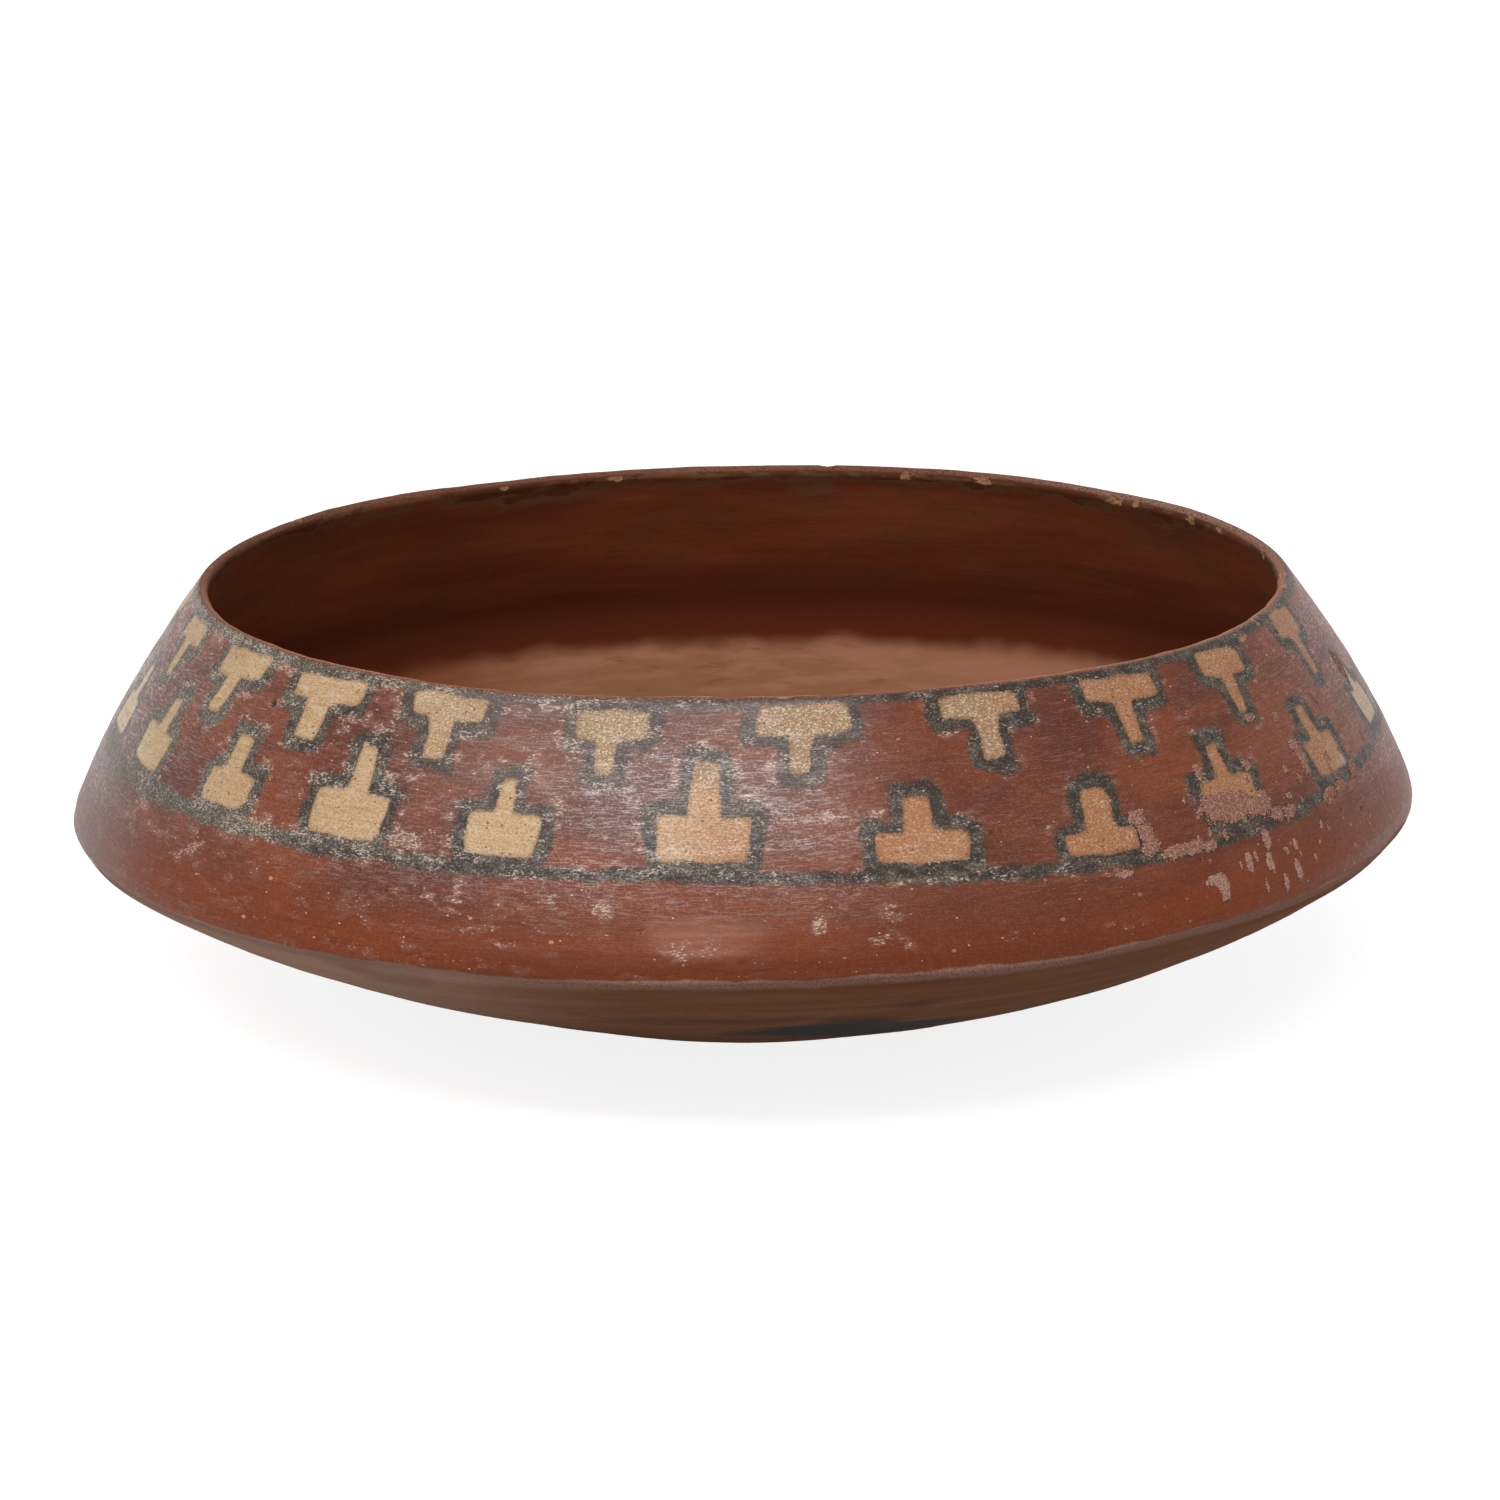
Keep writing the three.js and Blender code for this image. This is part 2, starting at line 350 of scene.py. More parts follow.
CRUST = [
    (45.6, 30.7, 7.8, 3.2, 0.20), (43.4, 29.2, 3.0, 2.2, 0.20), (48.4, 31.4, 3.2, 2.2, 0.20),
    (49.9, 30.6, 1.6, 2.2, 0.18), (49.8, 24.0, 1.3, 1.3, 0.16), (43.3, 22.7, 1.1, 1.5, 0.16),
    (34.8, 28.4, 2.0, 1.8, 0.22), (35.4, 31.2, 1.4, 2.2, 0.20), (35.6, 33.8, 2.2, 1.6, 0.20),
    (37.4, 35.2, 3.0, 1.4, 0.20), (39.6, 35.2, 3.4, 1.4, 0.20), (41.6, 35.8, 2.2, 1.1, 0.18),
    (43.7, 34.5, 0.9, 1.2, 0.14), (51.2, 34.2, 2.0, 1.5, 0.20), (52.8, 34.4, 2.2, 1.3, 0.18),
    (59.6, 34.8, 3.0, 1.3, 0.22), (62.2, 34.4, 3.0, 1.6, 0.22), (66.0, 33.0, 2.2, 1.6, 0.20),
    (57.9, 24.9, 1.5, 4.2, 0.14), (57.2, 18.0, 1.1, 1.2, 0.12), (53.5, 16.2, 1.6, 0.9, 0.12),
    (54.6, 27.3, 0.8, 1.2, 0.12), (53.5, 31.7, 1.0, 0.8, 0.12), (48.3, 36.9, 1.0, 1.8, 0.14),
    (51.7, 40.1, 0.7, 1.2, 0.12), (45.4, 40.8, 0.9, 1.9, 0.14), (47.8, 41.8, 1.0, 2.2, 0.14),
    (51.0, 44.9, 0.8, 2.0, 0.12), (49.0, 46.3, 0.7, 1.8, 0.12), (41.1, 41.8, 2.5, 1.1, 0.16),
    (41.7, 43.6, 1.3, 2.1, 0.16), (32.4, 37.4, 2.2, 0.7, 0.10), (66.2, 17.8, 1.0, 2.0, 0.12),
    (78.8, 18.4, 2.6, 3.0, 0.14), (-178, 30.4, 3.4, 1.4, 0.18), (-171, 31.6, 2.2, 1.2, 0.16),
    (132, 24.6, 1.6, 1.8, 0.14), (112, 33.6, 2.4, 1.1, 0.16),
]
CRUST_FLECKS = 70
FLECK_DEGREES = (40, 72)
FLECK_PLACES = (12, 46)
FLECK_SIZES = (0.25, 0.75)
FLECK_ROUND_SHARES = (0.5, 0.9)
FLECK_ALONG_SHARES = (0.9, 1.9)
FLECK_DEPTH = 0.08
CHIP_SOFTNESS = 0.5
PIT_SOFTNESS = 0.6
CRUST_SOFTNESS = 0.3
# The clusters at 0 and 8 degrees, 15 and 22 millimetres below the lip, thicken the film where the highlight
# falls on the front: there the dust is partly painted sheen.
DUST_CLUSTERS = [
    (-79, 1.0, 7, 2.4, 0.5), (-66, 1.2, 8, 2.4, 0.8), (-55, 1.2, 9, 2.2, 1.0), (-46, 1.4, 9, 1.6, 1.2),
    (-38, 1.8, 8, 1.6, 1.1), (-30, 1.6, 6, 1.8, 0.7), (-20, 2.0, 8, 2.4, 0.6), (-62, 9.4, 1.6, 1.3, 0.9),
    (-48, 9.0, 3, 2.4, 0.6), (-41, 12.6, 6, 1.6, 0.8), (-37, 20, 3, 2.5, 0.6), (-32, 17, 3, 3, 0.6),
    (-27, 26, 3, 4.0, 0.9), (-29.6, 30, 5, 2.0, 0.9), (-35, 30.6, 5, 1.6, 0.8), (-44, 30, 7, 1.8, 0.6),
    (-24, 18, 3, 3, 0.7), (-20.4, 12, 2.2, 1.6, 0.9), (-16, 8, 4, 5, 0.5), (-10.6, 18, 3, 2, 0.5),
    (-15, 36.7, 4, 1.6, 0.9), (-11.5, 37.3, 2.2, 1.3, 1.0), (-19.2, 43, 1.5, 1.5, 1.1),
    (-22, 42.6, 1.6, 1.2, 0.7), (-7, 30, 6, 1.3, 0.9), (-24, 37, 7, 2.4, 0.6), (6, 40.8, 0.9, 2.0, 1.0),
    (10.7, 42.3, 2.4, 1.4, 0.9), (12.6, 44.3, 1.6, 0.9, 0.8), (12, 38.6, 2.0, 1.6, 0.7),
    (24.5, 36.8, 3, 1.2, 0.8), (21, 44.6, 3.2, 0.8, 0.7), (15, 33.9, 7, 1.1, 0.9), (3.4, 4.4, 6, 2.6, 0.7),
    (0, 15, 8, 4, 0.5), (8, 22, 6, 3, 0.5), (33, 24, 2, 2, 0.5), (-48, 31, 12, 1.7, 1.1),
    (-52, 38, 9, 4, 0.35), (-64, 36, 8, 4, 0.3), (30, 46, 6, 1.2, 0.5), (44, 12, 5, 3, 0.35),
    (-5, 44, 8, 2, 0.4),
]
DUSTY_BACKGROUND = 0.19

# Wide dustier zones on the photo's left: degrees from the front, width in degrees, strength
DUSTY_ZONES = [(-35, 45, 0.24), (-92, 20, 0.15)]

# How ragged the marks' edges are, in shares of their sizes
MARK_EDGE = WallNoise(22, 900, 0.9)
MARK_LOBES = WallNoise(23, 300, 2.4)
RAGGEDNESS = 0.6


def crust_flecks():
    """Small flecks of crust scattered round the large ones, mostly taller than wide, crowded low down."""
    draw = np.random.default_rng(21)
    flecks = []
    for _ in range(CRUST_FLECKS):
        degrees = draw.uniform(*FLECK_DEGREES)
        place = mix(*FLECK_PLACES, math.sqrt(draw.uniform()))
        size = draw.uniform(*FLECK_SIZES)
        half_round = size * draw.uniform(*FLECK_ROUND_SHARES)
        half_along = size * draw.uniform(*FLECK_ALONG_SHARES)
        flecks.append((degrees, place, half_round, half_along, FLECK_DEPTH))
    return flecks


CRUST += crust_flecks()


def off_marks(marks, along, angle):
    """For each mark: how far the points are from its middle, in its half sizes, and its last value."""
    degrees = degrees_from_front(angle)
    depth = below_lip(along)
    radius, _ = skin.at(along)
    for mark_degrees, place, half_round, half_along, strength in marks:
        across = np.radians(turned_away(degrees, mark_degrees)) * radius / half_round
        yield np.hypot(across, (depth - place) / half_along), strength


def mark_shares(marks, along, angle):
    """For each mark: the points near it, their share (1 in its middle, 0 at its edge) and its depth."""
    roughness = RAGGEDNESS * (MARK_EDGE(angle, along) + MARK_LOBES(angle, along)) / 2
    for away, depth in off_marks(marks, along, angle):
        near = away < 2
        yield near, 1 - away[near] + roughness[near], depth


def marks_relief(along, angle):
    """Chips and pits sink the surface, and crust lifts it."""
    along, angle = np.broadcast_arrays(along, angle)
    relief = np.zeros(along.shape)
    kinds = ((LIP_CHIPS, CHIP_SOFTNESS, -1), (PITS, PIT_SOFTNESS, -1), (CRUST, CRUST_SOFTNESS, 1))
    for marks, softness, side in kinds:
        for near, share, depth in mark_shares(marks, along, angle):
            change = depth * smooth_step(share, 0, softness)
            relief[near] += side * np.maximum(change - np.abs(relief[near]), 0)
    return relief


def mark_field(marks, along, angle):
    """The largest share of any of the marks, for a material's mask."""
    field = np.full(along.shape, -1.0)
    for near, share, _ in mark_shares(marks, along, angle):
        field[near] = np.maximum(field[near], share)
    return field


def dust_field(along, angle):
    """How thickly old dirt and salts lie: everywhere a little, more in wide zones and in clusters."""
    field = np.full(along.shape, DUSTY_BACKGROUND)
    for degrees, width, strength in DUSTY_ZONES:
        field += strength * bell(turned_away(degrees_from_front(angle), degrees), width)
    for away, strength in off_marks(DUST_CLUSTERS, along, angle):
        field += strength * bell(away, 1)
    return field


# The painted pattern: steps left light in the red slip and outlined in dark paint. A step is its degrees
# from the front, its bar's width, the bar's free edge and stem edge below the lip, the stem's width and tip,
# and then how far the stem is off the bar's middle, its lean, how much shorter the bar's free edge is on
# each side, and how much lower the bar's right end is. All but the angle are millimetres.

HANGING_STEPS = [
    (-73.5, 13.0, 2.6, 7.0, 4.0, 14.4, 0.0, -1.0),
    (-58.3, 15.4, 2.8, 7.8, 4.9, 15.2, -0.6, -1.4, 0.3, -0.6),
    (-43.9, 17.4, 2.8, 7.4, 6.4, 14.6, -1.2, 0.3, 0.3, -0.4),
    (-29.0, 15.2, 2.2, 6.8, 5.4, 13.8, -0.6, 0.3, 0.0, 0.2),
    (-12.2, 12.8, 3.0, 8.4, 4.4, 14.7, -0.4, -0.2),
    (5.6, 16.6, 1.8, 7.6, 4.4, 14.6, 0.0, -1.1, 0.8, -0.2),
    (22.8, 14.4, 2.3, 6.5, 4.6, 14.4, 0.4, 0.0),
    (38.6, 16.0, 2.6, 7.2, 4.0, 15.4, -0.2, -1.2, 0.0, 0.5),
    (53.5, 12.8, 2.5, 7.6, 3.8, 15.2, -0.2, -0.7, 0.0, 0.8),
    (70.2, 11.8, 1.7, 7.4, 3.6, 15.6, -0.3, 0.2, 0.0, 0.5),
    (102.5, 13.2, 2.4, 7.0, 4.0, 14.8, 0.0, 0.4, 0.3, 0.3),
]
STANDING_STEPS = [
    (-81.4, 13.2, 28.8, 22.2, 4.4, 15.5, 0.3, 0.6),
    (-67.4, 13.6, 29.0, 21.8, 4.8, 15.7, 0.3, 0.8, 0.4, 0.5),
    (-51.5, 13.8, 29.2, 23.0, 5.2, 16.4, -0.9, 0.3, 0.4),
    (-36.1, 16.8, 29.6, 21.6, 4.9, 13.1, 0.9, -0.9, 1.0),
    (-20.7, 13.9, 29.4, 21.9, 3.8, 15.9, -0.2, 0.0, 0.4),
    (-3.3, 16.6, 29.4, 21.4, 5.6, 12.0, 0.2, 0.0, 1.0, 0.2),
    (15.0, 16.8, 31.0, 25.6, 5.6, 19.4, -0.4, 0.0, 0.2, 0.5),
    (31.0, 14.6, 33.4, 29.2, 6.2, 21.6, 0.3, 0.3, 0.0, 0.3),
    (46.3, 14.0, 32.2, 25.0, 3.8, 18.3, -0.3, 0.2, 0.8),
    (62.3, 12.6, 31.6, 24.4, 4.0, 18.0, -0.3, -0.4, 0.5),
    (79.4, 12.6, 30.2, 23.2, 4.0, 16.8, 0.0, -0.5, 0.4),
]

# Steps on the side that the photograph doesn't show: their spacing in degrees, and how much they vary
UNSEEN_SPACING = 15.6
UNSEEN_TURN = 1.0
UNSEEN_WIDTH_SHARES = (0.94, 1.1)
UNSEEN_STEM_SHARES = (0.9, 1.1)
UNSEEN_TIP_CHANGE = 0.6
UNSEEN_STEM_SHIFT = 0.5
UNSEEN_LEAN = 1.0
UNSEEN_FLARE = 0.8
UNSEEN_SLANTS = (-0.5, 0.6)

# How far from paint its distance is still worked out, and how the brush draws a step: its stem narrows to
# the tip, its corners and crevices are blunted, and its edges wobble
FAR_FROM_PAINT = 8.0
STEM_TAPER = 0.82
BLUNT_SHARE = 0.55
CORNER_BLUNTING = 0.8
CREVICE_ROUNDING = 0.35
HAND_WOBBLE = 0.34
WOBBLE_ROUND = WallNoise(33, 190, 3.6)
WOBBLE_ALONG = WallNoise(34, 190, 3.6)

# The line below the pattern, which sags on the photo's right and swells on its left, and the band at the lip
LOWER_LINE_DEPTH = 31.6
LOWER_LINE_SAG = 4.0
LOWER_LINE_SAG_AT = 40
LOWER_LINE_SAG_WIDTH = 26
LOWER_LINE_HALF = 1.15
LOWER_LINE_SWELL = 0.5
LOWER_LINE_SWELL_AT = -65
LOWER_LINE_SWELL_WIDTH = 25
RIM_BAND_DEPTH = 2.5
LINE_WIDTHS = WallNoise(35, 80, 8.0)
LINE_WIDTH_CHANGE = 0.3


class Step:
    """One step of the pattern: a bar and a stem, in millimetres right of its middle and below the lip."""

    def __init__(self, degrees, width, near, far, stem_width, tip, shift=0, lean=0, flare=0, slant=0):
        self.degrees = degrees
        self.reach = width / 2 + FAR_FROM_PAINT
        half, foot = width / 2, stem_width / 2
        root = (near + far) / 2
        self.bar = [(-half + flare, near - slant), (half - flare, near + slant), (half, far + slant),
                    (-half, far - slant)]
        self.stem = [(shift - foot, root), (shift + foot, root), (shift + lean + foot * STEM_TAPER, tip),
                     (shift + lean - foot * STEM_TAPER, tip)]
        self.lowest = min(near, tip) - FAR_FROM_PAINT
        self.highest = max(near, tip) + FAR_FROM_PAINT

    def distance(self, x, y):
        bar, stem = corner_distance(x, y, self.bar), corner_distance(x, y, self.stem)
        return -CREVICE_ROUNDING * np.logaddexp(-bar / CREVICE_ROUNDING, -stem / CREVICE_ROUNDING)


def corner_distance(x, y, corners):
    """Distance from a four-cornered shape, negative inside, mixed with one that blunts its corners."""
    edges = list(zip(corners, corners[1:] + corners[:1]))
    turning = sum(ax * by - bx * ay for (ax, ay), (bx, by) in edges)
    nearest = np.full(x.shape, np.inf)
    flat = np.full(x.shape, -np.inf)
    blunt = np.full(x.shape, -np.inf)
    for (ax, ay), (bx, by) in edges:
        ex, ey = bx - ax, by - ay
        length = math.hypot(ex, ey)
        share = np.clip(((x - ax) * ex + (y - ay) * ey) / length ** 2, 0, 1)
        nearest = np.minimum(nearest, np.hypot(x - ax - share * ex, y - ay - share * ey))
        beyond = ((x - ax) * ey - (y - ay) * ex) / length * math.copysign(1, turning)
        flat = np.maximum(flat, beyond)
        blunt = np.logaddexp(blunt, beyond / CORNER_BLUNTING)
    return mix(np.where(flat < 0, -nearest, nearest), blunt * CORNER_BLUNTING, BLUNT_SHARE)


def unseen_steps(shapes, seed):
    """Steps on the side that the photograph doesn't show, spaced and varied like the shown ones."""
    draw = np.random.default_rng(seed)
    unshown = 360 - (shapes[-1][0] - shapes[0][0])
    count = round(unshown / UNSEEN_SPACING) - 1
    steps = []
    for i in range(count):
        _, width, near, far, stem_width, tip = shapes[(3 * i + 2) % len(shapes)][:6]
        steps.append((
            shapes[-1][0] + unshown * (i + 1) / (count + 1) + draw.uniform(-UNSEEN_TURN, UNSEEN_TURN),
            width * draw.uniform(*UNSEEN_WIDTH_SHARES), near, far,
            stem_width * draw.uniform(*UNSEEN_STEM_SHARES),
            tip + draw.uniform(-UNSEEN_TIP_CHANGE, UNSEEN_TIP_CHANGE),
            draw.uniform(-UNSEEN_STEM_SHIFT, UNSEEN_STEM_SHIFT), draw.uniform(-UNSEEN_LEAN, UNSEEN_LEAN),
            draw.uniform(0, UNSEEN_FLARE), draw.uniform(*UNSEEN_SLANTS),
        ))
    return steps


STEPS = [
    Step(*shape)
    for shapes, seed in ((HANGING_STEPS, 31), (STANDING_STEPS, 32))
    for shape in shapes + unseen_steps(shapes, seed)
]


def step_field(along, angle):
    """Distance from the nearest step of the pattern, in millimetres, negative inside."""
    degrees = degrees_from_front(angle)
    depth = below_lip(along) + HAND_WOBBLE * WOBBLE_ALONG(angle, along)
    wobble = HAND_WOBBLE * WOBBLE_ROUND(angle, along)
    radius, _ = skin.at(along)
    field = np.full(along.shape, FAR_FROM_PAINT)
    for step in STEPS:
        sideways = np.radians(turned_away(degrees, step.degrees)) * radius + wobble
        near = (np.abs(sideways) < step.reach) & (depth > step.lowest) & (depth < step.highest)
        if near.any():
            field[near] = np.minimum(field[near], step.distance(sideways[near], depth[near]))
    return field


def line_field(along, angle):
    """Distance from the band under the lip and the line below the pattern, negative on them."""
    depth = below_lip(along)
    degrees = degrees_from_front(angle)
    sag = LOWER_LINE_SAG * bell(turned_away(degrees, LOWER_LINE_SAG_AT), LOWER_LINE_SAG_WIDTH)
    swell = LOWER_LINE_SWELL * bell(turned_away(degrees, LOWER_LINE_SWELL_AT), LOWER_LINE_SWELL_WIDTH)
    middle = LOWER_LINE_DEPTH + sag + HAND_WOBBLE * WOBBLE_ALONG(angle, along)
    line = np.abs(depth - middle) - LOWER_LINE_HALF - swell
    band = depth - RIM_BAND_DEPTH
    field = np.minimum(line, band) - LINE_WIDTH_CHANGE * LINE_WIDTHS(angle, along)
    return np.clip(field, -FAR_FROM_PAINT, FAR_FROM_PAINT)


# Meshes

OUTER_ROW = 0.5
BASE_ROW = 1.2
INNER_ROW = 1.5
LIP_ROW = 0.28
JOINT_ROWS = 5
WALL_COLUMNS = 1080
BASE_COLUMNS = 720
PAT_COLUMNS = 360
INSIDE_BLEND = (-0.8, 0.8)
BAKE_MARGIN = 0.004
JOINT_BAKE_SHARE = 0.25


class Sheet:
    """Rows of points round the bowl that make one piece, in order along its section."""

    def __init__(self, columns, closed=True):
        self.angle = np.arange(columns) * TAU / columns
        self.closed = closed
        self.points = []
        self.normals = []
        self.along = []
        self.on_skin = []

    def add(self, points, normals, along, on_skin):
        self.points.append(points)
        self.normals.append(normals)
        self.along.append(np.broadcast_to(along, points.shape[:2]))
        self.on_skin.append(np.full(len(points), on_skin))

    def add_skin(self, places):
        along, angle = np.meshgrid(places, self.angle, indexing="ij")
        half_column = TAU / len(self.angle) / 2
        ahead = surface(along + SKIN_STEP, angle) - surface(along - SKIN_STEP, angle)
        aside = surface(along, angle + half_column) - surface(along, angle - half_column)
        normal = np.cross(aside, ahead)
        self.add(surface(along, angle), normal / np.linalg.norm(normal, axis=-1, keepdims=True), along, True)

    def add_joint(self, start, end, side):
        """The bevelled, crowned face through the clay between two places on the skin. Side is 1 at the
        ring's upper end and -1 at its lower end. Inside the clay it keeps half a luting gap on its side."""
        first = surface(np.full(len(self.angle), start), self.angle)
        last = surface(np.full(len(self.angle), end), self.angle)
        outer = min(start, end)
        up = surface(np.full(len(self.angle), outer + 1), self.angle)
        up = up - surface(np.full(len(self.angle), outer), self.angle)
        share = (np.arange(1, JOINT_ROWS + 1) / (JOINT_ROWS + 1))[:, None, None]
        bow = (JOINT_CROWN - side * LUTING_GAP / 2) * np.sin(math.pi * share)
        rows = mix(first, last, share) + bow * up / np.linalg.norm(up, axis=-1, keepdims=True)
        self.add(rows, np.zeros_like(rows), start, False)

    def joined(self):
        return [np.concatenate(rows) for rows in (self.points, self.normals, self.along, self.on_skin)]


def ring_faces(rows, columns, closed):
    """Quads of a sheet, as rows and columns of their corners. A closed sheet's last row meets its first."""
    row, column = np.meshgrid(np.arange(rows if closed else rows - 1), np.arange(columns), indexing="ij")
    row, column = row.ravel(), column.ravel()
    face_rows = np.stack([row, row, row + 1, row + 1], axis=1)
    return face_rows, np.stack([column, column + 1, column + 1, column], axis=1)


def bake_map_of_ring(points, on_skin, columns, face_rows, face_columns):
    """A map for baking: the ring cut into equal arcs, stacked, each as long as the picture is wide."""
    centre_line = points[:, 0]
    steps = np.linalg.norm(np.roll(centre_line, -1, axis=0) - centre_line, axis=1)
    steps = np.where(on_skin & np.roll(on_skin, -1), steps, steps * JOINT_BAKE_SHARE)
    heights = np.concatenate([[0], np.cumsum(steps)])
    girth = TAU * np.hypot(centre_line[:, 0], centre_line[:, 1]).mean()
    most_arcs = round(math.sqrt(girth / heights[-1]))
    arcs = next(count for count in range(most_arcs, 0, -1) if columns % count == 0)
    arc_columns = columns // arcs
    arc = face_columns[:, :1] // arc_columns
    u = (face_columns - arc * arc_columns) / arc_columns
    v = heights[face_rows] / heights[-1]
    arc_margin = BAKE_MARGIN * arcs
    return BAKE_MARGIN + u * (1 - 2 * BAKE_MARGIN), (arc + arc_margin + v * (1 - 2 * arc_margin)) / arcs


def store(mesh, name, values):
    mesh.attributes.new(name, "FLOAT", "POINT").data.foreach_set("value", values.astype(np.float32).ravel())


def store_knowledge(mesh, along, angle):
    """What the materials need to know at each point."""
    store(mesh, "along", along)
    store(mesh, "inside", smooth_step(along - skin.lip, *INSIDE_BLEND))
    store(mesh, "step", step_field(along, angle))
    store(mesh, "line", line_field(along, angle))
    store(mesh, "dust", dust_field(along, angle))
    for name, marks in (("crust", CRUST), ("chip", LIP_CHIPS), ("pit", PITS)):
        store(mesh, name, mark_field(marks, along, angle))


def bake_map_of_disc(vertices, corners, above):
    """A map for baking: the disc seen from below, and beside it the disc seen from above."""
    span = np.abs(vertices[:, :2]).max() * (1 + 4 * BAKE_MARGIN)
    flat_map = vertices[corners, :2] / span
    return (flat_map[:, 0] + 1) / 4 + above / 2, (flat_map[:, 1] + 1) / 4


def filled_mesh(name, vertices, corners, sizes, normals, flat, bake):
    """A mesh with the given normals, except on flat faces. Sizes are the faces' numbers of corners."""
    mesh = bpy.data.meshes.new(name)
    mesh.vertices.add(len(vertices))
    mesh.vertices.foreach_set("co", (vertices * MM).astype(np.float32).ravel())
    mesh.loops.add(len(corners))
    mesh.loops.foreach_set("vertex_index", corners.astype(np.int32))
    mesh.polygons.add(len(sizes))
    mesh.polygons.foreach_set("loop_start", np.append(0, np.cumsum(sizes)[:-1]).astype(np.int32))
    mesh.polygons.foreach_set("use_smooth", np.ones(len(sizes), bool))
    mesh.update(calc_edges=True)
    bake = np.stack([part.ravel() for part in bake], axis=1).astype(np.float32)
    mesh.uv_layers.new(name="OFBake").data.foreach_set("uv", bake.ravel())
    face_normals = np.zeros(len(sizes) * 3, np.float32)
    mesh.polygons.foreach_get("normal", face_normals)
    face_normals = np.repeat(face_normals.reshape(-1, 3), sizes, axis=0)
    mesh.normals_split_custom_set(np.where(np.repeat(flat, sizes)[:, None], face_normals, normals[corners]))
    return mesh


def mesh_from_sheet(name, sheet):
    """A closed mesh: a ring whose section meets itself, or else a disc whose two ends close in a point."""
    points, normals, along, on_skin = sheet.joined()
    rows, columns = along.shape
    face_rows, face_columns = ring_faces(rows, columns, sheet.closed)
    corners = (face_rows % rows * columns + face_columns % columns).ravel()
    sizes = np.full(len(face_rows), 4)
    flat = ~(on_skin[face_rows[:, 0]] & on_skin[face_rows[:, 2] % rows])
    vertices = points.reshape(-1, 3)
    normals = normals.reshape(-1, 3)
    along, angle = along.ravel(), np.tile(sheet.angle, rows)
    if sheet.closed:
        bake = bake_map_of_ring(points, on_skin, columns, face_rows, face_columns)
    else:
        above = along[corners.reshape(-1, 4)].mean(axis=1) > skin.lip
        above = np.append(np.repeat(above, 4), np.repeat([False, True], 3 * columns))
        here = np.arange(columns)
        there = (here + 1) % columns
        last_row = (rows - 1) * columns
        # Fans of triangles close the foot, which faces down, and the floor, which faces up
        fans = ((points[0], there, here, -1), (points[-1], last_row + here, last_row + there, 1))
        for row, first, second, facing in fans:
            tip = np.full(columns, len(vertices))
            corners = np.append(corners, np.stack([tip, first, second], axis=1))
            vertices = np.append(vertices, [[0, 0, row[:, 2].mean()]], axis=0)
            normals = np.append(normals, [[0, 0, facing]], axis=0)
        along, angle = np.append(along, [0, skin.end]), np.append(angle, [0, 0])
        sizes = np.append(sizes, np.full(2 * columns, 3))
        flat = np.append(flat, np.zeros(2 * columns, bool))
        bake = bake_map_of_disc(vertices, corners, above)
    mesh = filled_mesh(name, vertices, corners, sizes, normals, flat, bake)
    store_knowledge(mesh, along, angle)
    return mesh


def add_piece(name, node, sheet, material):
    """One piece of the bowl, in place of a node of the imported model."""
    mesh = mesh_from_sheet(name, sheet)
    mesh.materials.append(material)
    piece = bpy.data.objects.new(name, mesh)
    bpy.context.scene.collection.objects.link(piece)
    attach(piece, "root")
    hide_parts(node)


def rows_between(start, end, step):
    return np.linspace(start, end, max(2, round(abs(end - start) / step) + 1))


def joint_ends(face_distance):
    """Where a leaning joint meets the outer and the inner skin."""
    lean = JOINT_BEVEL / 2
    return skin.outer_place(face_distance + lean), skin.inner_place(face_distance - lean)


def ring_sheet(low, high, columns, outer_row):
    """A ring of clay between two joints, given as distances along the outer face."""
    (outer_low, inner_low), (outer_high, inner_high) = joint_ends(low), joint_ends(high)
    sheet = Sheet(columns)
    sheet.add_skin(rows_between(outer_low, outer_high, outer_row))
    sheet.add_joint(outer_high, inner_high, 1)
    sheet.add_skin(rows_between(inner_high, inner_low, INNER_ROW))
    sheet.add_joint(inner_low, outer_low, -1)
    return sheet


def rim_sheet(low):
    """The last ring, which ends in the lip."""
    outer, inner = joint_ends(low)
    sheet = Sheet(WALL_COLUMNS)
    sheet.add_skin(np.concatenate([
        rows_between(outer, skin.lip - LIP_REACH, OUTER_ROW)[:-1],
        rows_between(skin.lip - LIP_REACH, skin.lip + LIP_REACH, LIP_ROW),
        rows_between(skin.lip + LIP_REACH, inner, 2 * OUTER_ROW)[1:],
    ]))
    sheet.add_joint(inner, outer, -1)
    return sheet


def pat_sheet(high):
    """The pressed disc under the bowl."""
    outer, inner = joint_ends(high)
    sheet = Sheet(PAT_COLUMNS, closed=False)
    sheet.add_skin(rows_between(BASE_ROW, outer, BASE_ROW))
    sheet.add_joint(outer, inner, 1)
    sheet.add_skin(rows_between(inner, skin.end - BASE_ROW, BASE_ROW))
    return sheet


# Building node trees

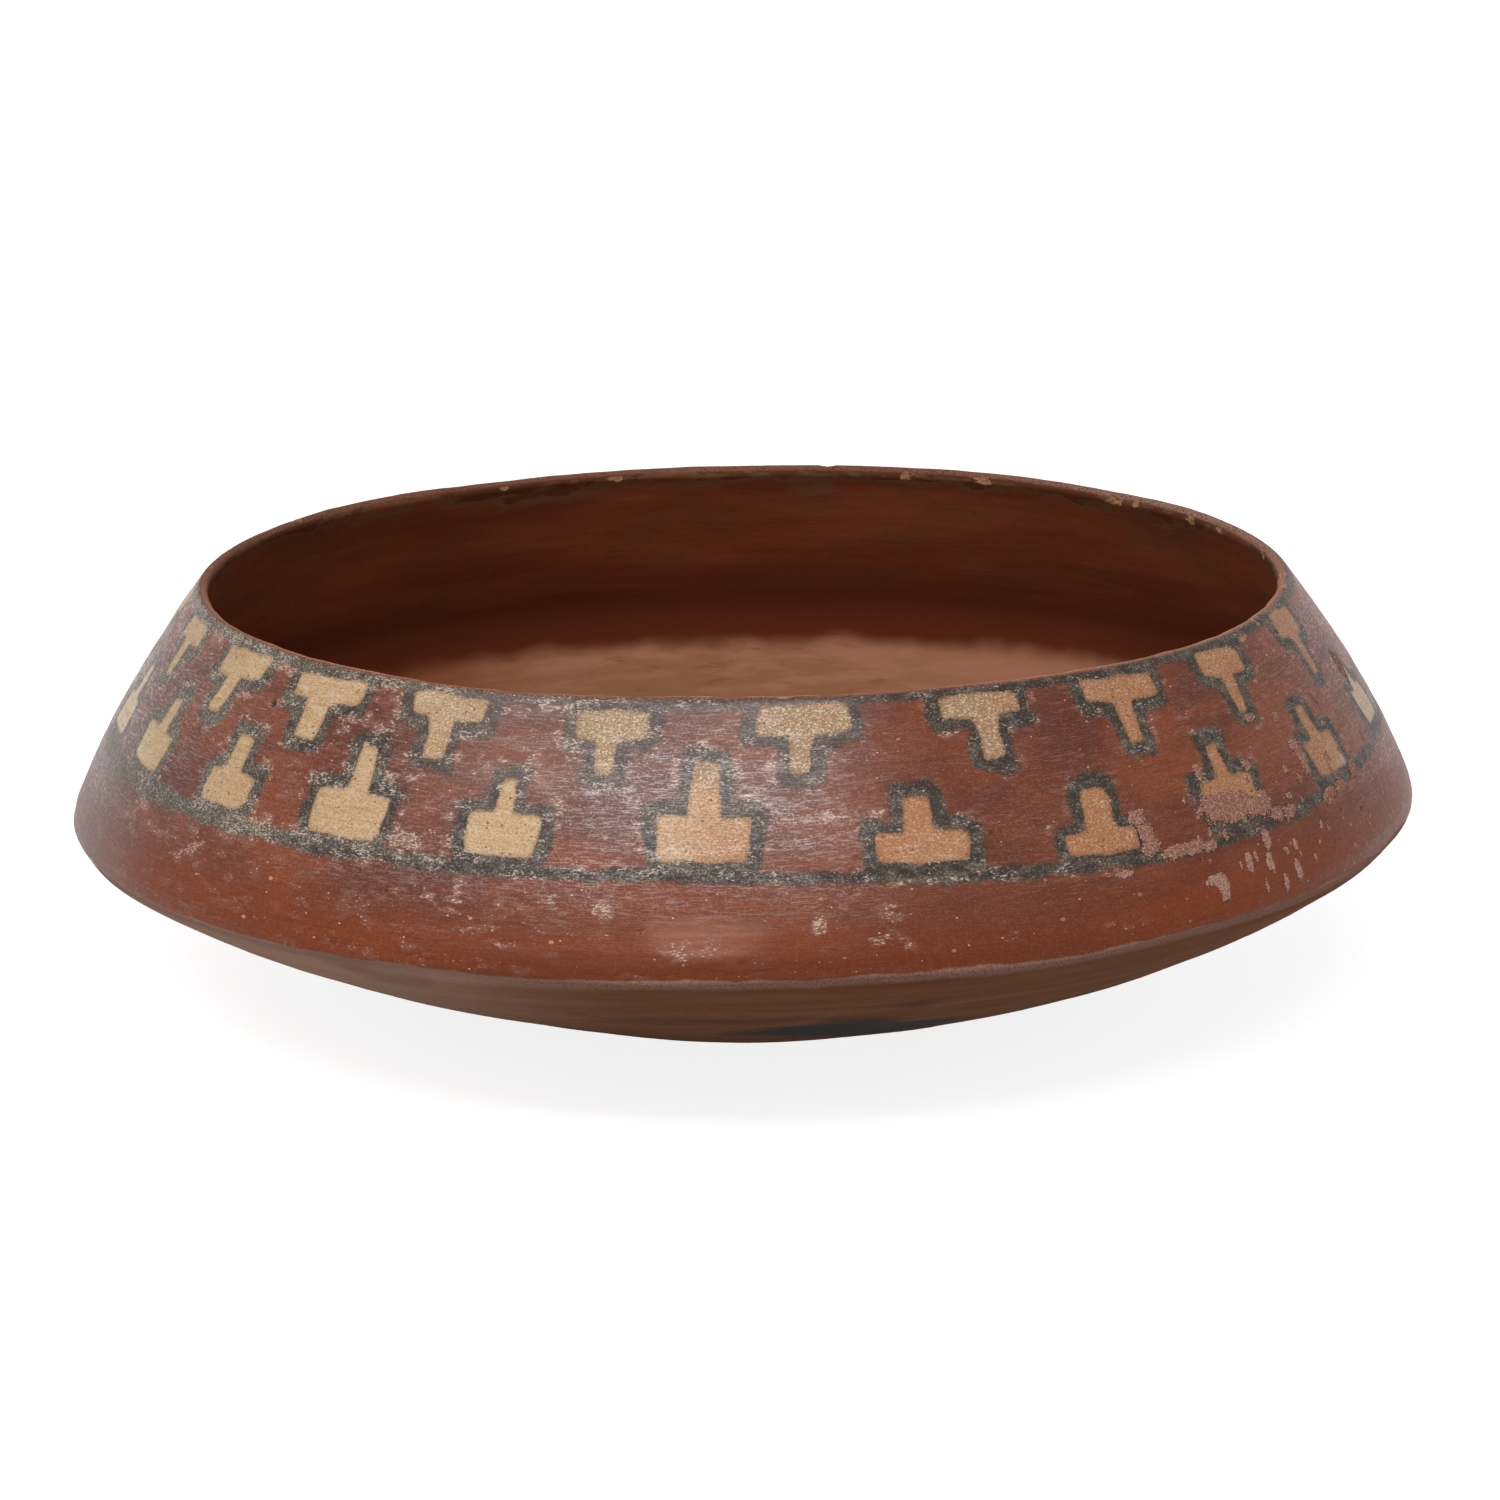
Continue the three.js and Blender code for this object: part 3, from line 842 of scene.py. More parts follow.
class Nodes:
    """Short ways to add nodes to a tree. A source is a socket or a plain value. The tree's place is where on
    the bowl it is, in millimetres: to the right of the middle, behind it, and along the skin."""

    def __init__(self, tree):
        self.tree = tree
        self.place = None

    def add(self, kind, **settings):
        made = self.tree.nodes.new("ShaderNode" + kind)
        for key, value in settings.items():
            setattr(made, key, value)
        return made

    def feed(self, socket, source):
        if isinstance(source, bpy.types.NodeSocket):
            self.tree.links.new(source, socket)
        else:
            socket.default_value = source

    def fed(self, kind, *sources, **settings):
        """A node with its first inputs fed. Gives its first output."""
        made = self.add(kind, **settings)
        for socket, source in zip(made.inputs, sources):
            self.feed(socket, source)
        return made.outputs[0]

    def plus(self, first, second):
        return self.fed("Math", first, second, operation="ADD")

    def minus(self, first, second):
        return self.fed("Math", first, second, operation="SUBTRACT")

    def times(self, first, second):
        return self.fed("Math", first, second, operation="MULTIPLY")

    def most(self, first, second):
        return self.fed("Math", first, second, operation="MAXIMUM")

    def least(self, first, second):
        return self.fed("Math", first, second, operation="MINIMUM")

    def size(self, source):
        return self.fed("Math", source, operation="ABSOLUTE")

    def centred(self, source, reach):
        """Noise from 0 to 1 turned into a change from about -reach to reach."""
        return self.times(self.minus(source, 0.5), 2 * reach)

    def ramp(self, source, low, high, to_low=0.0, to_high=1.0):
        return self.fed("MapRange", source, low, high, to_low, to_high, interpolation_type="SMOOTHSTEP")

    def near(self, source, centre, full, none):
        """1 within the full distance from a centre, and 0 beyond the distance of none."""
        return self.ramp(self.size(self.minus(source, centre)), none, full)

    def blend(self, share, first, second):
        made = self.add("Mix", data_type="RGBA", clamp_factor=True)
        for index, source in ((0, share), (6, first), (7, second)):
            self.feed(made.inputs[index], source)
        return made.outputs[2]

    def cover(self, colour, other, mask, amount):
        """The colour with another laid over it where the mask is, as thickly as the amount."""
        return self.blend(self.times(mask, amount), colour, other)

    def between(self, share, first, second):
        """A number that goes from the first to the second with the share."""
        made = self.add("Mix", data_type="FLOAT", clamp_factor=True)
        for index, source in ((0, share), (2, first), (3, second)):
            self.feed(made.inputs[index], source)
        return made.outputs[0]

    def parts(self, vector):
        made = self.add("SeparateXYZ")
        self.feed(made.inputs[0], vector)
        return made.outputs

    def scaled(self, vector, sizes):
        return self.fed("VectorMath", vector, sizes, operation="DIVIDE")

    def noise(self, width, height, detail, roughness=0.5):
        """Noise whose spots have a width round the bowl and a height along its skin, in millimetres."""
        made = self.add("TexNoise")
        made.inputs["Scale"].default_value = 1.0
        made.inputs["Detail"].default_value = detail
        made.inputs["Roughness"].default_value = roughness
        self.feed(made.inputs["Vector"], self.scaled(self.place, (width, width, height)))
        return made.outputs[0]

    def use(self, effect, **sources):
        """An effect at this tree's place."""
        made = self.add("Group", node_tree=effect)
        self.feed(made.inputs["Place"], self.place)
        for name, source in sources.items():
            self.feed(made.inputs[name.capitalize()], source)
        return made.outputs


class Effect(Nodes):
    """A shared node group in the making, with a place and other named inputs, and named outputs."""

    KINDS = {"Place": "Vector", "Spacing": "Vector", "Color": "Color"}

    def __init__(self, name, inputs, outputs):
        super().__init__(bpy.data.node_groups.new(name, "ShaderNodeTree"))
        for names, side in ((["Place", *inputs], "INPUT"), (outputs, "OUTPUT")):
            for socket_name in names:
                kind = "NodeSocket" + self.KINDS.get(socket_name, "Float")
                self.tree.interface.new_socket(socket_name, in_out=side, socket_type=kind)
        self.inputs = self.tree.nodes.new("NodeGroupInput").outputs
        self.outputs = self.tree.nodes.new("NodeGroupOutput").inputs
        self.place = self.inputs["Place"]

    def give(self, name, source):
        self.feed(self.outputs[name], source)


def seen_as(red, green, blue):
    """A colour as seen on screen, 0 to 255, turned into the linear colour that a shader takes."""
    parts = [part / 255 for part in (red, green, blue)]
    return (*[part / 12.92 if part <= 0.04045 else ((part + 0.055) / 1.055) ** 2.4 for part in parts], 1.0)


# Shared effects. Noise is from 0 to 1 and mostly from 0.3 to 0.7, so a ramp over it says how much it covers.

def burnish_effect():
    """Strokes of the polishing stone round the bowl, the bands they gather in, and the slip's mottling."""
    e = Effect("burnish", [], ["Strokes", "Hairlines", "Bands", "Mottling"])
    e.give("Strokes", e.noise(9, 0.5, 3, 0.6))
    e.give("Hairlines", e.noise(2.6, 0.24, 2, 0.6))
    e.give("Bands", e.noise(46, 3.2, 2, 0.55))
    e.give("Mottling", e.noise(24, 13, 3, 0.55))
    return e.tree


def grain_effect():
    """The sand in clay and paint: a fine height, and masks of dark and pale grains."""
    e = Effect("sandy grain", [], ["Height", "Dark", "Pale"])
    fine = e.noise(0.42, 0.34, 1, 0.6)
    coarse = e.noise(1.5, 1.1, 1)
    both = e.plus(e.times(fine, 0.88), e.times(coarse, 0.12))
    e.give("Height", fine)
    e.give("Dark", e.ramp(both, 0.48, 0.38))
    e.give("Pale", e.ramp(both, 0.53, 0.63))
    return e.tree


def scattered_grains_effect():
    """Single round grains, one at most in each cell of a spacing. The largest is a share of a cell."""
    e = Effect("scattered grains", ["Spacing", "Largest"], ["Mask"])
    largest = e.inputs["Largest"]
    cells = e.add("TexVoronoi")
    cells.inputs["Scale"].default_value = 1.0
    e.feed(cells.inputs["Vector"], e.scaled(e.place, e.inputs["Spacing"]))
    draw = e.fed("SeparateColor", cells.outputs["Color"])
    from_edge = e.minus(cells.outputs["Distance"], e.ramp(draw, 0.3, 1.0, 0.0, largest))
    e.give("Mask", e.ramp(from_edge, 0.0, e.times(largest, -0.3)))
    return e.tree


def dust_effect():
    """Pale specks and films of old dirt and salts, crowded where the density is high."""
    e = Effect("pale dust", ["Density"], ["Specks", "Film"])
    patches = e.noise(5, 2.4, 3, 0.65)
    specks = e.noise(0.7, 0.26, 2, 0.65)
    crowd = e.times(e.inputs["Density"], e.ramp(patches, 0.42, 0.64, 0.1, 1.6))
    edge = e.ramp(crowd, 0.0, 1.3, 0.74, 0.50)
    e.give("Specks", e.ramp(specks, edge, e.plus(edge, 0.08)))
    e.give("Film", e.times(e.ramp(crowd, 0.25, 1.2), e.ramp(patches, 0.40, 0.60, 0.35, 1.0)))
    return e.tree


def brushed_edge_effect():
    """A painted shape's mask from a signed distance in millimetres, with a granular, slightly soft edge."""
    e = Effect("brushed edge", ["Distance", "Softness", "Raggedness"], ["Mask"])
    softness = e.inputs["Softness"]
    rough = e.plus(e.centred(e.noise(0.5, 0.4, 2, 0.65), 0.8), e.centred(e.noise(2.2, 1.8, 1), 0.6))
    moved = e.plus(e.inputs["Distance"], e.times(rough, e.inputs["Raggedness"]))
    e.give("Mask", e.ramp(moved, softness, e.times(softness, -1.0)))
    return e.tree


# Colours, as the screen shows them under plain light

RED_SLIP = seen_as(124, 60, 28)
RED_SLIP_DARK = seen_as(84, 36, 17)
RED_SLIP_BRIGHT = seen_as(118, 52, 16)
FLECK_ORANGE = seen_as(196, 142, 108)
FLECK_PALE = seen_as(206, 180, 150)
# Pale grains of the slip, also the colour of a painted highlight low on the front
SLIP_GRAIN_AND_HIGHLIGHT = seen_as(186, 128, 104)
DUSTY_SLIP = seen_as(142, 100, 88)
# The grey-lilac of a painted sheen
SHEEN_LILAC = seen_as(116, 98, 93)
BUFF_YELLOW = seen_as(191, 158, 117)
BUFF_ORANGE = seen_as(165, 111, 74)
BUFF_GREY = seen_as(152, 126, 98)
BUFF_PALE = seen_as(218, 198, 166)
TEMPER_BROWN = seen_as(98, 66, 46)
PAINT_DARK = seen_as(44, 35, 28)
PAINT_GREY = seen_as(90, 80, 70)
PAINT_SPECK = seen_as(160, 145, 128)
DUST_PALE = seen_as(206, 186, 168)
CRUST_DARK = seen_as(88, 54, 44)
CRUST_BROWN = seen_as(148, 104, 88)
CRUST_PALE = seen_as(186, 150, 134)
LIP_CLAY = seen_as(126, 80, 62)
# The pale of a painted highlight on the lip's crown
LIP_CROWN_HIGHLIGHT = seen_as(186, 134, 102)
LIP_CLAY_PINK = seen_as(156, 116, 102)
CHIP_CLAY = seen_as(172, 134, 98)
# Pale lilac of the rubbed ridge, partly a painted highlight
RIDGE_LILAC = seen_as(152, 116, 104)
BARE_CLAY = seen_as(126, 80, 54)
BARE_CLAY_DARK = seen_as(111, 67, 43)
# The paler clay of painted light on the base's left
BARE_CLAY_LIT = seen_as(176, 138, 120)
# The black of fire clouds and dark grains, and of painted shade in pits
CLOUD_BLACK_AND_PIT_SHADE = seen_as(22, 16, 14)
INNER_BROWN = seen_as(122, 64, 36)
INNER_BROWN_DARK = seen_as(106, 52, 29)
INNER_BROWN_LOW = seen_as(84, 36, 16)
INNER_OLIVE = seen_as(98, 62, 36)
INNER_FLOOR = seen_as(144, 98, 70)
INNER_FLOOR_PINK = seen_as(158, 108, 84)
INNER_LIP_OLIVE = seen_as(104, 78, 54)

# Where the look changes, in millimetres. A DEPTH is below the lip, an X right of the middle and a Y behind
# it, from where the change starts to where it is done. A REACH is how far from its X it is full, then gone.

LOW_SLIP_DEPTHS = (34, 46)
# Painted shade on the slip right of the middle
SHADED_SLIP_X = 40
SHADED_SLIP_REACH = (12, 38)
# Painted shade on the slip just above the bare clay at the front
KEEL_SHADE_DEPTHS = (43.0, 46.5)
KEEL_SHADE_X = -16
KEEL_SHADE_REACH = (20, 50)
# A painted highlight: a soft pale patch low on the front
KEEL_HIGHLIGHT_X = -6.0
KEEL_HIGHLIGHT_DEPTH = 41.8
KEEL_HIGHLIGHT_WIDTH = 9.0
KEEL_HIGHLIGHT_HEIGHT = 3.0
# Painted sheen: where a grey-lilac film lies over the front's upper half and the left end
SHEEN_X = -18
SHEEN_REACH = (22, 48)
SHEEN_DEPTHS = (30, 16)
SHEEN_THINNER_DEPTHS = (2, 8)
LEFT_SHEEN_X = (-102, -121)
BUFF_ORANGE_X = (-30, 16)
BUFF_PALE_FROM_MIDDLE = (103, 112)
BUFF_GREYER_DEPTHS = (18, 14)
BUFF_GREYER_REACH = (30, 75)
PAINT_WORN_X = (-65, -105)
PAINT_CLEANER_X = (-30, 40)
CRUST_PALE_DEPTHS = (35, 40)
LIP_PINK_X = (30, 95)
# Where the painted highlight on the lip's crown fades towards the back
LIP_HIGHLIGHT_Y = (20, -60)
POLISH_LOSS_DEPTHS = (33, 42)
STEP_DULL_DEPTHS = (14, 22)
POLISH_WEAKER_X = (8, 36)
SLIP_ENDS_DEPTHS = (48.9, 49.4)
RIDGE_ENDS_DEPTHS = (52.1, 50.5)
# Painted light on the base, growing towards the left
BARE_CLAY_LIT_X = (-15, -80)
FIRE_CLOUD_AT = (17, -93, 100)
FIRE_CLOUD_SIZES = (18, 34, 20)
# Painted shade low on the wall inside
INNER_SHADE_DEPTHS = (22, 36)
FLOOR_EDGE_DEPTHS = (42.1, 46.9)
FLOOR_BROWN_X = (-34, -72)
FLOOR_PINK_X = (16, 56)
OLIVE_BAND_DEPTHS = (6.0, 2.6)
DARK_LIP_DEPTHS = (1.8, 0.6)

# Distances from a step's edge, in millimetres: its narrowest and widest dark outline, the dusty fringe round
# that, and the dirty rim inside
OUTLINE_WIDTHS = (1.9, 2.8)
FRINGE_STARTS = (1.6, 2.4)
FRINGE_ENDS = (4.4, 3.0)
STEP_RIM = (0.7, 0.1)


def bare_clay_effect():
    """The unslipped base: streaky brown clay with fire clouds, and a black one under the front."""
    e = Effect("bare clay", ["Bands", "Strokes"], ["Color"])
    colour = e.blend(e.ramp(e.inputs["Bands"], 0.34, 0.66), BARE_CLAY_DARK, BARE_CLAY)
    colour = e.cover(colour, BARE_CLAY_DARK, e.ramp(e.inputs["Strokes"], 0.5, 0.36), 0.25)
    # Painted light: the clay is made paler towards the left
    colour = e.cover(colour, BARE_CLAY_LIT, e.ramp(e.parts(e.place)[0], *BARE_CLAY_LIT_X), 0.95)
    clouds = e.noise(46, 26, 3)
    away = e.fed("VectorMath", e.place, FIRE_CLOUD_AT, operation="SUBTRACT")
    reach = e.add("VectorMath", operation="LENGTH")
    e.feed(reach.inputs[0], e.scaled(away, FIRE_CLOUD_SIZES))
    black = e.ramp(e.plus(reach.outputs["Value"], e.centred(clouds, 1.6)), 1.1, 0.5)
    mask = e.most(e.times(e.ramp(clouds, 0.55, 0.72), 0.5), black)
    e.give("Color", e.blend(mask, colour, CLOUD_BLACK_AND_PIT_SHADE))
    return e.tree


def inner_wall_colour(e, depth):
    """The dark burnished wall inside, made darkest low down by painted shade."""
    wall = e.blend(e.ramp(e.noise(44, 9, 3, 0.5), 0.36, 0.66), INNER_BROWN_DARK, INNER_BROWN)
    wall = e.cover(wall, INNER_OLIVE, e.ramp(e.noise(15, 8, 4, 0.6), 0.48, 0.70), 0.7)
    # Painted shade: the wall inside is darkened low down, towards the floor
    return e.cover(wall, INNER_BROWN_LOW, e.ramp(depth, *INNER_SHADE_DEPTHS), 0.95)


def inner_floor_colour(e):
    """The rubbed floor: pinkish, most of all on the right, and browner on the left."""
    sideways = e.parts(e.place)[0]
    floor = e.blend(e.ramp(e.noise(16, 4, 3, 0.6), 0.42, 0.62), INNER_FLOOR, INNER_FLOOR_PINK)
    floor = e.cover(floor, INNER_BROWN, e.ramp(e.noise(10, 2.4, 4, 0.65), 0.56, 0.70), 0.5)
    floor = e.cover(floor, INNER_BROWN, e.ramp(sideways, *FLOOR_BROWN_X), 0.75)
    return e.cover(floor, INNER_FLOOR_PINK, e.ramp(sideways, *FLOOR_PINK_X), 0.7)


def inner_effect():
    """The inside: its wall, its floor and an olive band under the lip."""
    e = Effect("inner face", ["Depth"], ["Color"])
    depth = e.inputs["Depth"]
    edge = e.plus(depth, e.centred(e.noise(30, 30, 3, 0.6), 5.0))
    colour = e.blend(e.ramp(edge, *FLOOR_EDGE_DEPTHS), inner_wall_colour(e, depth), inner_floor_colour(e))
    band = e.plus(depth, e.centred(e.noise(20, 6, 4, 0.65), 16.0))
    colour = e.cover(colour, INNER_LIP_OLIVE, e.ramp(band, *OLIVE_BAND_DEPTHS), 0.75)
    e.give("Color", e.cover(colour, INNER_BROWN_LOW, e.ramp(band, *DARK_LIP_DEPTHS), 0.7))
    return e.tree


BURNISH = burnish_effect()
GRAIN = grain_effect()
SCATTERED_GRAINS = scattered_grains_effect()
DUST = dust_effect()
BRUSHED_EDGE = brushed_edge_effect()
BARE_CLAY_FACE = bare_clay_effect()
INNER_FACE = inner_effect()


# Materials

CLAY_GLOSS = 0.18
POLISH_ROUGHNESS = 0.26
MATTE = 1.0


class Surface(Nodes):
    """A material in the making: its tree, its place on the skin and the effects that all of it uses."""

    def __init__(self, name):
        self.material = bpy.data.materials.new(name)
        self.material.use_nodes = True
        super().__init__(self.material.node_tree)
        self.shader = self.tree.nodes["Principled BSDF"]
        self.shader.inputs["Specular IOR Level"].default_value = CLAY_GLOSS
        self.shader.inputs["Coat Roughness"].default_value = POLISH_ROUGHNESS
        along = self.known("along")
        metres = self.parts(self.add("TexCoord").outputs["Object"])
        self.sideways = self.times(metres[0], 1 / MM)
        self.backwards = self.times(metres[1], 1 / MM)
        self.place = self.fed("CombineXYZ", self.sideways, self.backwards, along)
        self.depth = self.minus(skin.painted_top, along)
        self.inner_depth = self.minus(along, skin.lip)
        self.strokes, self.hairlines, self.bands, self.mottling = self.use(BURNISH)
        self.grit, self.dark_grain, self.pale_grain = self.use(GRAIN)

    def known(self, name):
        """A value that the mesh stores at each point."""
        return self.add("Attribute", attribute_name=name).outputs["Fac"]

    def grains(self, width, height, largest):
        return self.use(SCATTERED_GRAINS, spacing=(width, width, height), largest=largest)["Mask"]

    def bare_clay(self):
        return self.use(BARE_CLAY_FACE, bands=self.bands, strokes=self.strokes)["Color"]

    def inner_face(self):
        return self.use(INNER_FACE, depth=self.inner_depth)["Color"]

    def relief(self, strokes, bands, grit):
        """Bump heights in millimetres."""
        height = self.plus(self.times(self.strokes, strokes), self.times(self.bands, bands))
        return self.plus(height, self.times(self.grit, grit))

    def finish(self, colour, roughness, height, polish=0.0):
        bump = self.add("Bump")
        bump.inputs["Distance"].default_value = MM
        self.feed(bump.inputs["Height"], height)
        for name, source in (("Base Color", colour), ("Roughness", roughness), ("Coat Weight", polish),
                             ("Normal", bump.outputs[0])):
            self.feed(self.shader.inputs[name], source)
        return self.material


def slip_colour(s):
    """Red-brown slip, streaked by burnishing, more orange low down and with painted shade on the right."""
    colour = s.blend(s.ramp(s.mottling, 0.36, 0.64), RED_SLIP_DARK, RED_SLIP)
    low = s.ramp(s.depth, *LOW_SLIP_DEPTHS)
    bright = s.most(s.times(s.ramp(s.bands, 0.50, 0.70), 0.7), s.times(low, 0.95))
    colour = s.blend(bright, colour, RED_SLIP_BRIGHT)
    # Painted shade: the slip right of the middle is darkened; dark burnishing strokes darken it too
    darker = s.times(s.near(s.sideways, SHADED_SLIP_X, *SHADED_SLIP_REACH), 0.45)
    darker = s.most(s.times(s.ramp(s.strokes, 0.48, 0.34), 0.5), darker)
    colour = s.blend(darker, colour, RED_SLIP_DARK)
    hairlines = s.ramp(s.hairlines, 0.54, 0.72)
    colour = s.cover(colour, DUSTY_SLIP, hairlines, s.ramp(low, 0, 1, 0.25, 0.12))
    colour = s.cover(colour, RED_SLIP_DARK, s.dark_grain, 0.3)
    colour = s.cover(colour, SLIP_GRAIN_AND_HIGHLIGHT, s.pale_grain, 0.07)
    colour = keel_shade_and_highlight(s, colour)
    dusty = s.ramp(s.known("dust"), 0.2, 0.5, 0.4, 0.9)
    return s.cover(colour, FLECK_ORANGE, s.grains(4.5, 3.2, 0.13), dusty)


def keel_shade_and_highlight(s, colour):
    """The slip at the keel's front: painted shade above the bare clay, and a pale painted highlight patch.
    """
    # Painted shade: the slip just above the bare clay at the front is darkened
    keel_shade = s.times(s.ramp(s.depth, *KEEL_SHADE_DEPTHS), s.near(s.sideways, KEEL_SHADE_X, *KEEL_SHADE_REACH))
    colour = s.cover(colour, RED_SLIP_DARK, keel_shade, 0.45)
    # Painted highlight: a soft pale patch, streaked by the burnishing bands
    across = s.times(s.minus(s.sideways, KEEL_HIGHLIGHT_X), 1 / KEEL_HIGHLIGHT_WIDTH)
    up = s.times(s.minus(s.depth, KEEL_HIGHLIGHT_DEPTH), 1 / KEEL_HIGHLIGHT_HEIGHT)
    away = s.plus(s.times(across, across), s.times(up, up))
    streaks = s.ramp(s.bands, 0.36, 0.62, 0.20, 0.50)
    return s.cover(colour, SLIP_GRAIN_AND_HIGHLIGHT, s.ramp(away, 2.2, 0.0), streaks)


def painted_sheen(s):
    """Masks of painted sheen over the front's upper half, thickest under the lip, and over the left end."""
    front = s.times(s.near(s.sideways, SHEEN_X, *SHEEN_REACH), s.ramp(s.depth, *SHEEN_DEPTHS))
    gathered = s.ramp(s.bands, 0.36, 0.60, 0.4, 1.0)
    front = s.times(s.times(front, gathered), s.ramp(s.depth, *SHEEN_THINNER_DEPTHS, 0.6, 0.34))
    return s.most(front, s.ramp(s.sideways, *LEFT_SHEEN_X, 0.0, 0.6))


def buff_colour(s, rim):
    """The light steps: yellower on the left, more orange on the right, sandy, with dark grains of temper."""
    warmth = s.plus(s.ramp(s.sideways, *BUFF_ORANGE_X), s.centred(s.mottling, 0.5))
    colour = s.blend(warmth, BUFF_YELLOW, BUFF_ORANGE)
    colour = s.blend(s.ramp(s.size(s.sideways), *BUFF_PALE_FROM_MIDDLE, 0.0, 0.75), colour, BUFF_PALE)
    # The upper steps in the middle are made greyer and darker, with more pale grains
    greyer_upper = s.times(s.ramp(s.depth, *BUFF_GREYER_DEPTHS), s.near(s.sideways, 0, *BUFF_GREYER_REACH))
    colour = s.cover(colour, BUFF_GREY, greyer_upper, 0.85)
    colour = s.cover(colour, BUFF_PALE, s.pale_grain, s.plus(0.3, s.times(greyer_upper, 0.35)))
    colour = s.cover(colour, TEMPER_BROWN, s.dark_grain, 0.36)
    colour = s.cover(colour, BUFF_ORANGE, s.ramp(s.strokes, 0.47, 0.32), 0.5)
    colour = s.cover(colour, TEMPER_BROWN, s.grains(1.3, 1.1, 0.26), 0.8)
    return s.cover(colour, TEMPER_BROWN, rim, 0.35)


def paint_colour(s):
    """The dark paint: matte, granular, and worn grey in patches."""
    worn = s.plus(s.noise(3, 2, 3, 0.6), s.ramp(s.known("dust"), 0.3, 1.2, -0.04, 0.12))
    worn = s.plus(worn, s.ramp(s.sideways, *PAINT_WORN_X, 0.0, 0.2))
    colour = s.blend(s.ramp(worn, 0.36, 0.68), PAINT_DARK, PAINT_GREY)
    colour = s.cover(colour, PAINT_DARK, s.dark_grain, 0.6)
    most_specks = s.ramp(s.sideways, *PAINT_CLEANER_X, 0.62, 0.4)
    return s.cover(colour, PAINT_SPECK, s.pale_grain, s.ramp(worn, 0.38, 0.64, 0.2, most_specks))


def crust_colour(s, thickness):
    """Old crust: brown, with painted shadow darkening its thin edges, paler low down and grainy."""
    # Painted shadow: a dark rim where the crust thins at its edges
    colour = s.blend(s.ramp(thickness, 0.04, 0.18), CRUST_DARK, CRUST_BROWN)
    colour = s.blend(s.ramp(s.depth, *CRUST_PALE_DEPTHS, 0.0, 0.45), colour, CRUST_PALE)
    colour = s.cover(colour, CRUST_DARK, s.dark_grain, 0.5)
    return s.cover(colour, CRUST_PALE, s.pale_grain, 0.8)


def lip_band(s, outside, wobble, full, none):
    """A mask along the lip, centred a little outside its crown, with a granular edge. All in millimetres."""
    away = s.plus(s.size(s.plus(s.inner_depth, outside)), s.centred(s.grit, wobble))
    return s.ramp(away, none, full)


def lip_colour(s, colour, worn_lip):
    """The lip, worn down to the clay, a painted highlight on its crown at the front, and its chips."""
    clay = s.blend(s.ramp(s.sideways, *LIP_PINK_X), LIP_CLAY, LIP_CLAY_PINK)
    colour = s.cover(colour, s.blend(s.dark_grain, clay, CRUST_DARK), worn_lip, 0.9)
    # Painted highlight: a pale line along the lip's crown, strongest at the front
    crown = lip_band(s, outside=0.3, wobble=0.8, full=0.4, none=0.75)
    colour = s.cover(colour, LIP_CROWN_HIGHLIGHT, crown, s.ramp(s.backwards, *LIP_HIGHLIGHT_Y, 0.0, 0.85))
    chip = s.plus(s.known("chip"), s.centred(s.noise(1.2, 0.8, 2), 0.9))
    return s.cover(colour, CHIP_CLAY, s.ramp(chip, 0.05, 0.2), 0.7)


def wall_polish(s, dark, light, sparkle, matte):
    """How strongly the burnished slip shines: in glints, weaker on paint, low down and on the right."""
    polish = s.times(s.plus(0.12, s.times(sparkle, 0.75)), s.minus(1.0, matte))
    polish = s.times(polish, s.ramp(s.depth, *POLISH_LOSS_DEPTHS, 1.0, 0.15))
    painted = s.most(dark, s.times(light, s.ramp(s.depth, *STEP_DULL_DEPTHS)))
    polish = s.times(polish, s.minus(1.0, s.times(painted, 0.5)))
    return s.times(polish, s.ramp(s.sideways, *POLISH_WEAKER_X, 1.0, 0.45))


def painted_masks(s, step):
    """Where the dark paint and the light steps are."""
    outline = s.minus(step, s.ramp(s.noise(7, 5, 2), 0.35, 0.65, *OUTLINE_WIDTHS))
    outline = s.least(outline, s.known("line"))
    dark = s.use(BRUSHED_EDGE, distance=outline, softness=0.6, raggedness=0.9)["Mask"]
    return dark, s.use(BRUSHED_EDGE, distance=step, softness=0.2, raggedness=0.5)["Mask"]


def pattern_colour(s, step, dark, light):
    """The slip, the painted pattern on it, and the painted sheen and the dust over both."""
    fringe = s.times(s.ramp(step, *FRINGE_STARTS), s.ramp(step, *FRINGE_ENDS))
    dust = s.use(DUST, density=s.plus(s.known("dust"), s.times(s.most(fringe, dark), 0.34)))
    colour = s.cover(slip_colour(s), DUSTY_SLIP, dust["Film"], 0.5)
    colour = s.blend(dark, colour, paint_colour(s))
    colour = s.blend(light, colour, buff_colour(s, s.ramp(s.size(step), *STEP_RIM)))
    # Painted sheen, laid over the slip and the dark paint but not over the light steps
    colour = s.cover(colour, SHEEN_LILAC, painted_sheen(s), s.minus(1.0, light))
    colour = s.cover(colour, DUST_PALE, dust["Specks"], 0.66)
    colour = s.cover(colour, FLECK_PALE, s.grains(1.9, 1.5, 0.13), 0.7)
    # Painted shade: the pits' hollows are filled with near black
    return s.blend(s.ramp(s.known("pit"), 0.1, 0.4), colour, CLOUD_BLACK_AND_PIT_SHADE)


